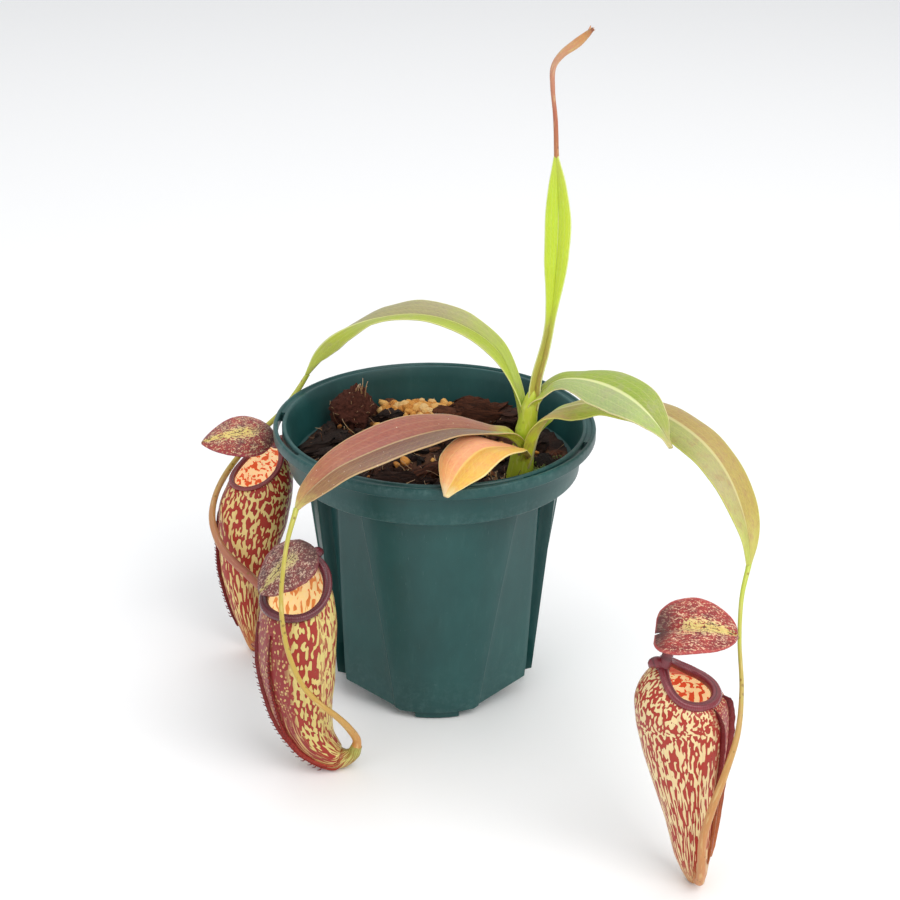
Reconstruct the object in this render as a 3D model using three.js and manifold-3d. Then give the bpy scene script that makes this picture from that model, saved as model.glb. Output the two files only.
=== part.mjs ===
// Potted tropical pitcher plant: a young Nepenthes in a round slotted nursery pot, with six leaves
// and three open pitchers that hang from their tendrils and rest on the surface beside the pot.
// Millimetres, +Z up. The origin is the middle of the pot's underside; -Y is the front.
import * as THREE from "three";
import { mergeVertices } from "three/addons/utils/BufferGeometryUtils.js";
import Module from "manifold-3d";

// ---------- driving dimensions ----------
const GAP = 0.3; // clearance kept between touching pieces
const POT = {
  height: 80,
  rimRadius: 45.2,
  rimInner: 41.5,
  lipUnderside: 76.8,
  collarTop: 41.6,
  collarBottom: 40.9,
  collarBase: 67.5, // height of the shelf under the collar
  footHeight: 2.2,
  wall: 1.3,
  panelRadius: [29, 36.5], // at the foot and under the collar
  facetRadius: [31.3, 35.8],
  grooveRadius: [28.4, 32.2],
  panelHalfAngle: [24, 36],
  facetEnd: [56, 50], // degrees from the middle of a panel to the edge of a groove
  facetLift: 5, // how much higher the wall ends beside a groove than below a panel
  turn: -87, // direction in which the front panel faces
  sectors: 3,
};
const RIM_SLOT = { inner: 42.6, outer: 44, span: 40, centres: [78, 192, 323] };
const DRAIN_SLIT = { width: 5, top: 16.5, inner: 15 };
const MIX = { level: 70, relief: 1.1 };
const BLADE_THICKNESS = 0.7;

const COLOURS = {
  pot: 0x1f4a45,
  mix: 0x3a2318,
  chunk: 0x4e1f19,
  granule: 0xd9a14a,
  stem: 0x9fb52f,
  leafGreen: 0x8fb52c,
  leafMauve: 0x94685b,
  leafOrange: 0xe0a35a,
  leafTan: 0xa9964a,
  tendril: 0xc2b03a,
  bud: 0xa8532f,
  pitcher: 0xa33a2c,
  lid: 0x8b3440,
};

// Leaves: each row is [x, y, z, half width, tilt of the left half, tilt of the right half] along the
// midrib from the stem outwards, with the tilts in degrees above the horizontal.
const LEAVES = {
  leaf_back_left: {
    heading: 150,
    colour: "leafGreen",
    rows: [
      [22.9, -13.2, 88, 1.8, 60, 60],
      [21.5, -10.5, 95, 2.1, 20, 45],
      [16.5, -4, 103, 3.3, -10, 36],
      [7, 2, 107.5, 5, 6, 32],
      [-5, 10, 107.5, 6, 8, 30],
      [-16, 15, 104.5, 5.6, 0, 24],
      [-24, 18, 101, 5, -35, 0],
      [-30, 20, 97, 4.6, -65, -30],
      [-34.5, 22, 91.5, 3.2, -75, -50],
      [-37.5, 23, 84.5, 0.7, -75, -60],
    ],
  },
  leaf_front_left: {
    heading: 217,
    colour: "leafMauve",
    rows: [
      [23.7, -18.1, 80.5, 1.8, 50, 50],
      [20.5, -20.5, 84.5, 2.4, 35, 45],
      [14.5, -25, 87.5, 3.1, 10, 35],
      [4, -33, 91.5, 5.4, 4, 35],
      [-7.5, -41, 92, 7, 2, 36],
      [-19, -48, 90, 6.4, 0, 34],
      [-25.5, -52, 88, 5, -5, 32],
      [-32, -55, 83, 2.8, -10, 30],
      [-34.5, -57, 80, 0.7, 0, 30],
    ],
  },
  leaf_small: {
    heading: 230,
    colour: "leafOrange",
    rows: [
      [26.4, -18.9, 75.5, 1.5, 30, 0],
      [24.5, -23, 80, 2.4, 15, -10],
      [19.5, -28.6, 84.4, 4.6, 5, 8],
      [12.4, -36, 87, 7, 0, 20],
      [7.4, -43, 85.6, 7, -5, 18],
      [4.4, -47, 82.2, 3.4, 0, 12],
      [3, -48.8, 79.8, 0.7, 0, 0],
    ],
  },
  leaf_right: {
    heading: -37,
    colour: "leafGreen",
    rows: [
      [29.8, -15.6, 91.5, 1.8, 55, 55],
      [31, -16.5, 96.6, 2.4, 40, 35],
      [33, -19, 100.5, 2.7, 26, -5],
      [38, -23, 102, 4.8, 14, -25],
      [44, -29, 103, 7, 15, -30],
      [49.5, -37, 103, 6.8, 18, -28],
      [53, -43, 102, 5.6, 25, -22],
      [56, -48, 100, 3.4, 28, -15],
      [57.5, -51, 98.5, 1.6, 25, -10],
      [59, -54, 96.5, 0.7, 0, 0],
    ],
  },
  leaf_right_long: {
    heading: -50,
    colour: "leafTan",
    rows: [
      [30.6, -16.3, 73, 2, 50, 50],
      [31.4, -17, 79.5, 2.6, 40, 50],
      [32.5, -17, 87, 4, 20, -10],
      [38, -16, 91.5, 4.4, 5, -18],
      [45.5, -17, 93, 5.4, 0, -18],
      [53.5, -21, 94, 6, 2, -24],
      [60.6, -31, 95, 5.9, 4, -25],
      [68.4, -46, 94, 5.7, 6, -20],
      [73, -57, 90.5, 5.1, 10, -10],
      [75.5, -67, 85.5, 4.4, 18, 5],
      [76.5, -73, 80.5, 2.8, 20, 15],
      [76.5, -77, 75.5, 0.7, 15, 15],
    ],
  },
  leaf_upright: {
    heading: 80,
    colour: "leafGreen",
    rows: [
      [27.2, -14.2, 97.2, 1.6, 60, 60],
      [29.2, -13, 106, 2, 60, 60],
      [30.4, -12.5, 113, 2.2, 50, 50],
      [31, -12, 119, 2.4, 35, 35],
      [31.8, -10, 131, 3.5, 22, 22],
      [32, -8, 140.5, 3.7, 20, 20],
      [31.6, -6, 150, 2.6, 25, 25],
      [31, -5, 157.5, 0.7, 30, 30],
    ],
  },
};

// Round growths: each row is [x, y, z, radius].
const STEM = [
  [19, -11, 58, 3],
  [24.9, -14.3, 71.5, 3],
  [26, -15, 84, 2.4],
  [26, -15, 91, 1.9],
  [26.8, -14.6, 96.6, 1.3],
];
const TENDRILS = {
  tendril_back_left: [
    [-37.7, 23.2, 83.4, 0.7],
    [-40.5, 24, 78.5, 0.8],
    [-45, 24.5, 72, 0.8],
    [-51.5, 25.5, 65, 0.8],
    [-57, 24.5, 59, 0.8],
    [-61.4, 20.5, 54, 0.9],
    [-64.1, 13.5, 50, 0.9],
    [-64.6, 6.5, 45.8, 1],
    [-63, 2.2, 42, 1.1],
    [-60.5, -0.4, 38.4, 1.2],
    [-56.7, -1.8, 34.6, 1.2],
    [-52.7, -2, 30.6, 1.3],
    [-49.2, -1.6, 25.6, 1.2],
    [-47.4, -0.6, 18, 1.2],
    [-48.6, 2, 9.5, 1.2],
    [-51.4, 5, 3, 1.2],
  ],
  tendril_front_left: [
    [-34.9, -57.6, 79.2, 0.8],
    [-36.5, -62, 74, 0.8],
    [-37.5, -67, 67.5, 0.8],
    [-38, -69, 59.5, 0.8],
    [-37, -69, 47.5, 0.9],
    [-33.5, -68.5, 36, 0.9],
    [-29.5, -67, 29.5, 1],
    [-25, -62, 22, 1],
    [-22, -57, 15, 1.1],
    [-20.2, -53.6, 9.2, 1.2],
  ],
  tendril_right: [
    [76.4, -77.3, 75, 0.7],
    [74.6, -82, 70, 0.8],
    [73.4, -90, 62.5, 0.8],
    [73.2, -99, 54, 0.9],
    [71.8, -106, 46.5, 1],
    [68.8, -110.5, 38, 1.1],
    [66.4, -110.5, 28, 1.2],
    [65.2, -109, 18, 1.3],
    [65.8, -107.2, 8, 1.4],
    [66, -104.6, 2.4, 1.4],
  ],
  tendril_upright: [
    [31, -4.9, 158.3, 0.8],
    [30.5, -4, 167, 0.8],
    [29.5, -4, 175, 0.9],
    [29.5, -4, 180.5, 1.2],
    [31.5, -5, 184, 1.6],
    [35, -6, 187, 1.7],
    [37.5, -7, 189.5, 1.1],
    [39, -7, 191, 0.5],
  ],
};

// Pitchers: rows of [x, y, z, radius] from the foot to the neck. The lip slopes from the end of the
// axis at the back to the fraction `low` of it at its lowest point, which is `skew` degrees from the
// direction in which the wings face. A high `neck` keeps the slope for the back. Below the lip the
// wall draws in by `tuck`.
const PITCHERS = {
  left: {
    facing: 172,
    rows: [
      [-53.5, 9.6, 0, 1.8],
      [-54.5, 10, 6, 3.3],
      [-55.5, 9.4, 17.5, 5.6],
      [-55.5, 9.4, 28.5, 7.8],
      [-54.5, 10, 37, 9.2],
      [-53.2, 11.2, 44.5, 10.3],
      [-51.8, 12.6, 52.5, 10.4],
      [-51, 13, 59.3, 10],
      [-51, 12.5, 65, 9],
    ],
    mouth: { low: 0.772, skew: 44, neck: 1.15, tuck: 2.6 },
    lid: { hinge: [-47, 15.5, 68.8], tip: [-66.5, 8, 70.2], halfWidth: 7.6, roll: -32, fold: 0 },
  },
  middle: {
    facing: 212,
    rows: [
      [-20.2, -53, 7.2, 1.5],
      [-21.4, -53, 4.4, 1.9],
      [-25, -52.6, 3, 3.2],
      [-30.5, -52.3, 7.4, 5.4],
      [-33.5, -52.5, 14, 7.1],
      [-34.7, -53, 20, 8.3],
      [-35.2, -53.3, 27, 9.5],
      [-35.6, -54, 35, 10.3],
      [-35.3, -55, 44.9, 10.5],
      [-35, -56.1, 53.7, 9.9],
      [-35.1, -57.1, 62.1, 8.7],
    ],
    mouth: { low: 0.9, skew: 27, neck: 1.8, tuck: 1 },
    lid: { hinge: [-31.8, -51.4, 66.4], tip: [-44.3, -61.5, 59.2], halfWidth: 7.2, roll: -22, fold: 0 },
  },
  right: {
    facing: -24,
    rows: [
      [66, -100, 0, 2.3],
      [65.4, -100, 3.4, 3.4],
      [64.5, -100, 8.8, 4.8],
      [63.5, -99, 18.5, 6.5],
      [62, -98, 29, 8.6],
      [61, -97, 37, 10.3],
      [60, -96, 45, 11.2],
      [59.2, -96.1, 49.8, 11],
      [59.3, -96.3, 53.7, 9.4],
      [60.2, -96.9, 57.5, 7.2],
    ],
    mouth: { low: 0.858, skew: 22, neck: 2, tuck: 1.2 },
    lid: { hinge: [54.8, -95.3, 67], tip: [70.4, -100.2, 70.9], halfWidth: 9.2, roll: 26, fold: 21 },
  },
};

// ---------- small tools ----------
const rad = THREE.MathUtils.degToRad;
const lerp = THREE.MathUtils.lerp;
const vec = (x, y, z) => new THREE.Vector3(x, y, z);
const mix = ([low, high], t) => lerp(low, high, t);
const UP = vec(0, 0, 1);

// Repeatable random numbers between 0 and 1.
function seeded(seed) {
  let state = seed;
  return () => {
    state = (state * 1664525 + 1013904223) % 4294967296;
    return state / 4294967296;
  };
}

const wasm = await Module();
wasm.setup();

function toSolid(geometry) {
  const bare = geometry.index ? geometry.clone() : geometry;
  for (const name of Object.keys(bare.attributes)) if (name !== "position") bare.deleteAttribute(name);
  const merged = mergeVertices(bare, 1e-4);
  return new wasm.Manifold(
    new wasm.Mesh({
      numProp: 3,
      vertProperties: merged.attributes.position.array,
      triVerts: new Uint32Array(merged.index.array),
    }),
  );
}

function toGeometry(solid) {
  const mesh = solid.getMesh();
  const geometry = new THREE.BufferGeometry();
  geometry.setAttribute("position", new THREE.BufferAttribute(mesh.vertProperties, mesh.numProp));
  geometry.setIndex(new THREE.BufferAttribute(mesh.triVerts, 1));
  geometry.computeVertexNormals();
  return geometry;
}

const joined = (solids) => solids.reduce((whole, piece) => whole.add(piece));

// A closed skin through rings that all have the same number of points. Both ends get a fan. The
// diagonals of the points from `mirrorFrom` on run the other way, so that the two faces of a thin
// sheet are split alike.
function skin(rings, mirrorFrom = Infinity) {
  const count = rings[0].length;
  const positions = rings.flat().flatMap((p) => [p.x, p.y, p.z]);
  const faces = [];
  for (let i = 0; i + 1 < rings.length; i++) {
    for (let j = 0; j < count; j++) {
      const a = i * count + j;
      const b = i * count + ((j + 1) % count);
      const [c, d] = [b + count, a + count];
      if (j < mirrorFrom) faces.push([a, b, c], [a, c, d]);
      else faces.push([a, b, d], [b, c, d]);
    }
  }
  [0, rings.length - 1].forEach((i) => {
    const centre = rings[i].reduce((sum, p) => sum.add(p), vec(0, 0, 0)).divideScalar(count);
    const hub = positions.push(centre.x, centre.y, centre.z) / 3 - 1;
    for (let j = 0; j < count; j++) {
      const [a, b] = [i * count + j, i * count + ((j + 1) % count)];
      faces.push(i === 0 ? [b, a, hub] : [a, b, hub]);
    }
  });
  const volume = faces.reduce((sum, [a, b, c]) => {
    const corner = (k) => vec(...positions.slice(3 * k, 3 * k + 3));
    return sum + corner(a).dot(corner(b).cross(corner(c)));
  }, 0);
  const outward = volume < 0 ? faces.map(([a, b, c]) => [a, c, b]) : faces;
  const geometry = new THREE.BufferGeometry();
  geometry.setAttribute("position", new THREE.Float32BufferAttribute(positions, 3));
  geometry.setIndex(outward.flat());
  geometry.computeVertexNormals();
  return geometry;
}

// A smooth reading of a table of rows: a function of the fraction u of the way along them, which
// gives the point, the direction and the other columns.
function reader(rows) {
  const path = new THREE.CatmullRomCurve3(rows.map((r) => vec(r[0], r[1], r[2])));
  const extra = new THREE.CatmullRomCurve3(rows.map((r) => vec(r[3], r[4] ?? 0, r[5] ?? 0)));
  return (u) => ({ point: path.getPoint(u), along: path.getTangent(u), more: extra.getPoint(u) });
}

// A round growth along rows of [x, y, z, radius].
function growth(rows, { sides = 8, steps = 24 } = {}) {
  const at = reader(rows);
  let across = null;
  const rings = [];
  for (let i = 0; i <= steps; i++) {
    const { point, along, more } = at(i / steps);
    if (!across) across = Math.abs(along.z) < 0.9 ? UP.clone() : vec(1, 0, 0);
    across.addScaledVector(along, -across.dot(along)).normalize();
    const third = along.clone().cross(across);
    const ring = [];
    for (let j = 0; j < sides; j++) {
      const angle = (2 * Math.PI * j) / sides;
      const spoke = across.clone().multiplyScalar(Math.cos(angle)).addScaledVector(third, Math.sin(angle));
      ring.push(point.clone().addScaledVector(spoke, more.x));
    }
    rings.push(ring);
  }
  return skin(rings);
}

// ---------- pot ----------
// One third of the wall's outline at height fraction t, as [degrees from the panel's middle, radius,
// height]: groove, facet, panel, facet and groove. Inside the wall the grooves are wider by `widen`.
function wallSector(t, widen = 0) {
  const half = mix(POT.panelHalfAngle, t);
  const panel = mix(POT.panelRadius, t);
  const facet = mix(POT.facetRadius, t);
  const groove = mix(POT.grooveRadius, t);
  const facetEnd = mix(POT.facetEnd, t) - widen;
  const level = (lift) => lerp(POT.footHeight + lift, POT.collarBase, t);
  const side = [
    [half, panel, level(0.6)],
    [half + 0.8, panel - 0.5, level(0.8)],
    [facetEnd, facet, level(POT.facetLift)],
    [facetEnd + 1, groove, level(POT.facetLift)],
  ];
  const middle = [-2, -1, 0, 1, 2].map((k) => [(half * k) / 3, panel, level(0)]);
  const mirrored = side.map(([angle, radius, z]) => [-angle, radius, z]).reverse();
  return [[-60, groove, level(POT.facetLift)], ...mirrored, ...middle, ...side];
}

function around(sector) {
  const points = [];
  for (let k = 0; k < POT.sectors; k++) {
    for (const [angle, radius, z] of sector) points.push([rad(POT.turn + 120 * k + angle), radius, z]);
  }
  return points;
}

// The wall's outline at height fraction t, moved in by inset and up by rise.
function wallRing(t, inset = 0, rise = 0) {
  const widen = THREE.MathUtils.radToDeg(inset / mix(POT.grooveRadius, t));
  const points = around(wallSector(t, widen));
  return points.map(([a, r, z]) => vec((r - inset) * Math.cos(a), (r - inset) * Math.sin(a), z + rise));
}

function roundRing(t, z, radius) {
  return around(wallSector(t)).map(([a]) => vec(radius * Math.cos(a), radius * Math.sin(a), z));
}

// A curved block between two radii, two angles in degrees and two heights.
function arcBlock(inner, outer, from, to, low, high) {
  const shape = new THREE.Shape();
  shape.absarc(0, 0, outer, rad(from), rad(to), false);
  shape.absarc(0, 0, inner, rad(to), rad(from), true);
  const settings = { depth: high - low, bevelEnabled: false, curveSegments: 10 };
  const block = new THREE.ExtrudeGeometry(shape, settings);
  return toSolid(block.translate(0, 0, low));
}

function makePot() {
  const { height, rimRadius, rimInner, collarTop, collarBottom, collarBase, footHeight, wall } = POT;
  const round = (radius, z) => roundRing(1, z, radius);
  const levels = [0, 0.5, 1];
  const [centreFoot, floorRadius] = [7, 22];
  const body = toSolid(
    skin([
      roundRing(0, 0, centreFoot),
      roundRing(0, footHeight, centreFoot),
      roundRing(0, footHeight, floorRadius),
      ...levels.map((t) => wallRing(t)),
      round(collarBottom, collarBase),
      round(collarTop, POT.lipUnderside),
      round(rimRadius, POT.lipUnderside),
      round(rimRadius, height - 0.6),
      round(rimRadius - 0.5, height),
      round(rimInner, height),
      round(collarTop - wall, POT.lipUnderside),
      round(collarBottom - wall, collarBase + wall),
      ...levels.reverse().map((t) => wallRing(t, wall, t === 0 ? wall : 0)),
      roundRing(0, footHeight + wall, floorRadius - 1),
    ]),
  );
  const feet = [0, 1, 2].map((k) => {
    const middle = POT.turn + 120 * k;
    return arcBlock(23.5, 28.2, middle - 13, middle + 13, 0, footHeight + 0.5);
  });
  const rimSlots = RIM_SLOT.centres.map((middle) =>
    arcBlock(
      RIM_SLOT.inner,
      RIM_SLOT.outer,
      middle - RIM_SLOT.span / 2,
      middle + RIM_SLOT.span / 2,
      POT.lipUnderside - 1,
      height + 1,
    ),
  );
  const slits = [60, 180, 300].map((angle) => {
    const length = rimRadius - DRAIN_SLIT.inner;
    const box = new THREE.BoxGeometry(length, DRAIN_SLIT.width, DRAIN_SLIT.top + 1);
    box.translate(DRAIN_SLIT.inner + length / 2, 0, DRAIN_SLIT.top / 2 - 0.5);
    return toSolid(box.rotateZ(rad(POT.turn + angle)));
  });
  return toGeometry(joined([body, ...feet]).subtract(joined([...rimSlots, ...slits])));
}

// ---------- potting mix and what lies on it ----------
// The lumpy top of the mix, before bark is added.
function mixHeight(x, y) {
  const waves = Math.sin(x * 0.42 + 1) * Math.cos(y * 0.37) + 0.6 * Math.sin(x * 0.9 - y * 0.7);
  return MIX.level + MIX.relief * 0.5 * waves;
}

// An irregular lump: a box or a ball whose corners are moved at random.
function lump(random, [x, y, z], [sx, sy, sz], turn, geometry = new THREE.BoxGeometry(1, 1, 1)) {
  const moved = mergeVertices(stripped(geometry));
  const place = moved.attributes.position;
  for (let i = 0; i < place.count; i++) {
    const k = 1 - 0.35 * random();
    place.setXYZ(i, place.getX(i) * k, place.getY(i) * k, place.getZ(i) * k);
  }
  moved.scale(sx, sy, sz).rotateX(rad(20 * (random() - 0.5)));
  return toSolid(moved.rotateZ(rad(turn)).translate(x, y, z));
}

function stripped(geometry) {
  for (const name of Object.keys(geometry.attributes)) {
    if (name !== "position") geometry.deleteAttribute(name);
  }
  return geometry;
}

const ball = () => new THREE.IcosahedronGeometry(0.5, 1);
const CHUNK = { at: [-24.3, 18.5, 75.5], size: [14.5, 10, 15] };
const HEAP = { at: [-6, 26, 70.6], size: [20, 12, 6], count: 30 };

function barkPieces() {
  const random = seeded(11);
  // The large pieces: [x, y, length, width, height, turn].
  const large = [
    [-31, 2, 13, 6, 6, 20],
    [-24, -4, 12, 6, 5, -10],
    [-9, -24, 15, 6, 6, -15],
    [6, -27, 12, 5, 6, 10],
    [12, 22, 15, 7, 8, -25],
    [22, 17, 13, 6, 8, -40],
    [30, 2, 9, 6, 5, 60],
    [-14, 8, 10, 6, 5, 35],
  ];
  const pieces = large.map(([x, y, l, w, h, turn]) => lump(random, [x, y, MIX.level + 0.6], [l, w, h], turn));
  for (let i = 0; i < 22; i++) {
    const radius = 30 * Math.sqrt(random());
    const angle = 2 * Math.PI * random();
    const [x, y] = [radius * Math.cos(angle), radius * Math.sin(angle)];
    const size = [6 + 5 * random(), 3 + 2 * random(), 3 + 2 * random()];
    pieces.push(lump(random, [x, y, MIX.level + 0.4], size, 360 * random()));
  }
  return joined(pieces);
}

function makeMix() {
  const inset = POT.wall + GAP + 0.05;
  const shelf = POT.collarBase + POT.wall + GAP;
  const rim = roundRing(1, 0, POT.collarBottom - inset);
  const shrink = (k) => rim.map((p) => vec(p.x * k, p.y * k, mixHeight(p.x * k, p.y * k)));
  const bottom = POT.footHeight + POT.wall + GAP;
  const body = toSolid(
    skin([
      ...[0.2, 0.4, 0.6, 0.8, 0.985].map(shrink),
      roundRing(1, shelf, POT.collarBottom - inset),
      wallRing(1, inset, GAP),
      wallRing(0.5, inset),
      wallRing(0, inset, POT.wall + GAP),
      roundRing(0, bottom, 20),
    ]),
  );
  const [[x0, y0, z0, r0], [x1, y1, z1]] = STEM;
  const bore = r0 + GAP + 0.2;
  const hole = growth([[x0, y0, z0 - GAP, bore], [x1, y1, z1, bore], [x1, y1, z1 + 6, bore]]);
  const chunkSize = CHUNK.size.map((side) => side + 2 * GAP);
  const chunkSeat = toSolid(stripped(ball()).scale(...chunkSize).translate(...CHUNK.at));
  const filling = body.add(barkPieces()).subtract(joined([toSolid(hole), chunkSeat, makeHeap(4 * GAP)]));
  // Scraps of bark that the hollows cut off are left out.
  const larger = (most, piece) => (piece.volume() > most.volume() ? piece : most);
  return toGeometry(filling.decompose().reduce(larger));
}

function makeChunk() {
  return toGeometry(lump(seeded(5), CHUNK.at, CHUNK.size, 0, ball()));
}

// The heap of granules, or with `grow` the hollow that it lies in.
function makeHeap(grow = 0) {
  const random = seeded(23);
  const [x, y, z] = HEAP.at;
  const [sx, sy, sz] = HEAP.size;
  const core = stripped(ball()).scale(sx - 3 + grow, sy - 3 + grow, sz - 1.5 + grow);
  const grains = [toSolid(core.translate(x, y, z))];
  for (let i = 0; i < HEAP.count; i++) {
    const angle = 2.4 * i;
    const reach = 0.5 * Math.sqrt((i + 0.5) / HEAP.count);
    const rise = Math.sqrt(1 - 4 * reach * reach) * 0.5;
    const [alongX, alongY] = [(sx - 3) * reach * Math.cos(angle), (sy - 3) * reach * Math.sin(angle)];
    const at = [x + alongX, y + alongY, z + (sz - 1.5) * rise];
    const size = 2.1 + 1.1 * random() + grow;
    const grain = new THREE.IcosahedronGeometry(0.5);
    grains.push(lump(random, at, [size, size * 0.85, size * 0.8], 360 * random(), grain));
  }
  return joined(grains);
}

// ---------- leaves ----------
// Both faces of a blade with a keeled midrib, as one ring per station: the upper face from the left
// margin to the right one, then the lower face back.
function makeBlade({ heading, rows }, stations = 22) {
  const at = reader(rows);
  const left0 = UP.clone().cross(vec(Math.cos(rad(heading)), Math.sin(rad(heading)), 0));
  const spread = [1, 0.55, 0];
  const rings = [];
  for (let i = 0; i <= stations; i++) {
    const { point, along, more } = at(i / stations);
    const left = left0.clone().addScaledVector(along, -left0.dot(along)).normalize();
    const normal = along.clone().cross(left);
    const [halfWidth, leftTilt, rightTilt] = more.toArray();
    const half = (sign, tilt) => {
      const [level, raised] = [Math.cos(rad(tilt)), Math.sin(rad(tilt))];
      const out = left.clone().multiplyScalar(sign * level).addScaledVector(normal, raised);
      const face = normal.clone().multiplyScalar(level).addScaledVector(left, -sign * raised);
      return spread.map((f) => {
        const arch = 0.35 * halfWidth * f * (1 - f);
        return { place: point.clone().addScaledVector(out, f * Math.max(halfWidth, 0.5)), face, arch };
      });
    };
    const leftHalf = half(1, leftTilt);
    const rightHalf = half(-1, rightTilt).reverse();
    const centre = { place: point, face: normal, arch: 0 };
    const line = [...leftHalf.slice(0, -1), centre, ...rightHalf.slice(1)];
    const shifted = (side) =>
      line.map(({ place, face, arch }, j) => {
        const keel = side < 0 && j === 2 ? 0.6 * Math.min(1, halfWidth / 3) : 0;
        return place.clone().addScaledVector(face, arch + (side * BLADE_THICKNESS) / 2 - keel);
      });
    rings.push([...shifted(1), ...shifted(-1).reverse()]);
  }
  return skin(rings, 5);
}

// ---------- pitchers ----------
const AROUND = 20;
const PERISTOME = { out: 1.4, thick: 1.5 };
const CUP_WALL = 0.9;
const SHOULDER = 0.8; // fraction of the way to the lip at which the wall starts to draw in

// A function that gives the point at fraction u of a pitcher's axis, in direction angle (0 is the
// front), moved out by grow and up by rise.
function onPitcher({ rows, facing }) {
  const at = reader(rows);
  const front = vec(Math.cos(rad(facing)), Math.sin(rad(facing)), 0);
  return (u, angle, grow = 0, rise = 0) => {
    const { point, along, more } = at(Math.min(u, 1));
    const forward = front.clone().addScaledVector(along, -front.dot(along)).normalize();
    const side = along.clone().cross(forward);
    const radius = more.x + grow;
    point
      .addScaledVector(forward, radius * Math.cos(angle))
      .addScaledVector(side, 0.94 * radius * Math.sin(angle))
      .addScaledVector(along, rise);
    return point.setZ(Math.max(point.z, 0)); // the foot rests on a small flat spot
  };
}

function makePitcher(pitcher) {
  const { mouth } = pitcher;
  const spot = onPitcher(pitcher);
  const slope = (angle) => ((1 - Math.cos(angle - rad(mouth.skew))) / 2) ** mouth.neck;
  const brim = (angle) => lerp(mouth.low, 1, slope(angle));
  const tuck = (k) => mouth.tuck * Math.max(0, (k - SHOULDER) / (1 - SHOULDER)) ** 2;
  const ring = (make) => Array.from({ length: AROUND }, (_, j) => make((2 * Math.PI * j) / AROUND));
  const level = (k, grow) => ring((a) => spot(k * brim(a), a, grow - tuck(k)));
  const { out, thick } = PERISTOME;
  const rings = [
    ...[0, 0.1, 0.2, 0.32, 0.45, 0.58, 0.7, 0.82, 0.91].map((k) => level(k, 0)),
    ...[
      [-0.02, 0, 0],
      [-0.01, out, -0.4],
      [0, out * 0.7, thick * 0.7],
      [0, -0.4, thick],
      [0, -1.4, 0],
      [-0.03, -1.3, 0],
    ].map(([drop, grow, rise]) => ring((a) => spot(brim(a) + drop, a, grow - mouth.tuck, rise))),
    ...[0.86, 0.72, 0.58, 0.45, 0.34].map((k) => level(k, -CUP_WALL)),
  ];
  const wings = [-1, 1].map((side) => makeWing(spot, mouth.low, side));
  return toGeometry(joined([toSolid(skin(rings)), ...wings]));
}

// A fringed wing down the front of a pitcher: a thin strip with teeth along its free edge.
function makeWing(spot, top, side) {
  const [low, teeth] = [0.34, 13];
  const rings = [];
  for (let i = 0; i <= 2 * teeth; i++) {
    const u = lerp(low, top * 0.8, i / (2 * teeth));
    const height = Math.sin((Math.PI * (i + 1)) / (2 * teeth + 2)) ** 0.5 * (i % 2 ? 1.8 : 1);
    const angle = side * 0.34;
    const half = 0.32 / 9;
    rings.push([
      spot(u, angle - half, -0.5),
      spot(u, angle + half, -0.5),
      spot(u, angle + half * 0.7 + side * 0.06, height),
      spot(u, angle - half * 0.7 + side * 0.06, height),
    ]);
  }
  return toSolid(skin(rings, 2));
}

// A domed oval lid from its hinge to its tip, rolled about its own length, with its halves folded up
// along the middle by `fold` degrees. A short stalk joins the hinge to the back of the pitcher's lip.
function makeLid(pitcher) {
  const { hinge, tip, halfWidth, roll, fold } = pitcher.lid;
  const spot = onPitcher(pitcher);
  const { skew, tuck } = pitcher.mouth;
  const foot = (rise) => spot(1, Math.PI + rad(skew), -0.2 - tuck, PERISTOME.thick + rise).toArray();
  const from = vec(...hinge);
  const along = vec(...tip).sub(from);
  const length = along.length();
  along.normalize();
  const side = UP.clone().cross(along).normalize().applyAxisAngle(along, rad(roll));
  const normal = along.clone().cross(side);
  const [stations, spread] = [12, [-1, -0.75, -0.4, 0, 0.4, 0.75, 1]];
  const rings = [];
  for (let i = 0; i <= stations; i++) {
    const u = i / stations;
    const width = Math.max(0.8, halfWidth * (Math.sin(Math.PI * u ** 0.8) ** 0.62) * (1 - 0.12 * u));
    const line = spread.map((f) => {
      const dome = 0.3 * halfWidth * (1 - f * f) * Math.sin(Math.PI * lerp(0.12, 0.95, u));
      const lift = Math.abs(f) * width * Math.sin(rad(fold));
      return from
        .clone()
        .addScaledVector(along, u * length)
        .addScaledVector(side, f * width * Math.cos(rad(fold)))
        .addScaledVector(normal, dome + lift - 0.25 * halfWidth * u * u);
    });
    const lower = line.map((p) => p.clone().addScaledVector(normal, -BLADE_THICKNESS)).reverse();
    rings.push([...line, ...lower]);
  }
  const inside = from.clone().addScaledVector(along, 2).addScaledVector(normal, 0.5).toArray();
  const stalk = [[...foot(GAP + 0.05), 1.4], [...foot(1.2), 1.1], [...inside, 0.8]];
  return toGeometry(toSolid(skin(rings, spread.length)).add(toSolid(growth(stalk, { steps: 6 }))));
}

// ---------- the plant in its pot ----------
const plant = new THREE.Group();
plant.name = "potted_pitcher_plant";

function add(name, geometry, colour, roughness = 0.6) {
  const material = new THREE.MeshStandardMaterial({ color: COLOURS[colour], roughness, metalness: 0 });
  const mesh = new THREE.Mesh(geometry, material);
  mesh.name = name;
  plant.add(mesh);
}

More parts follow.
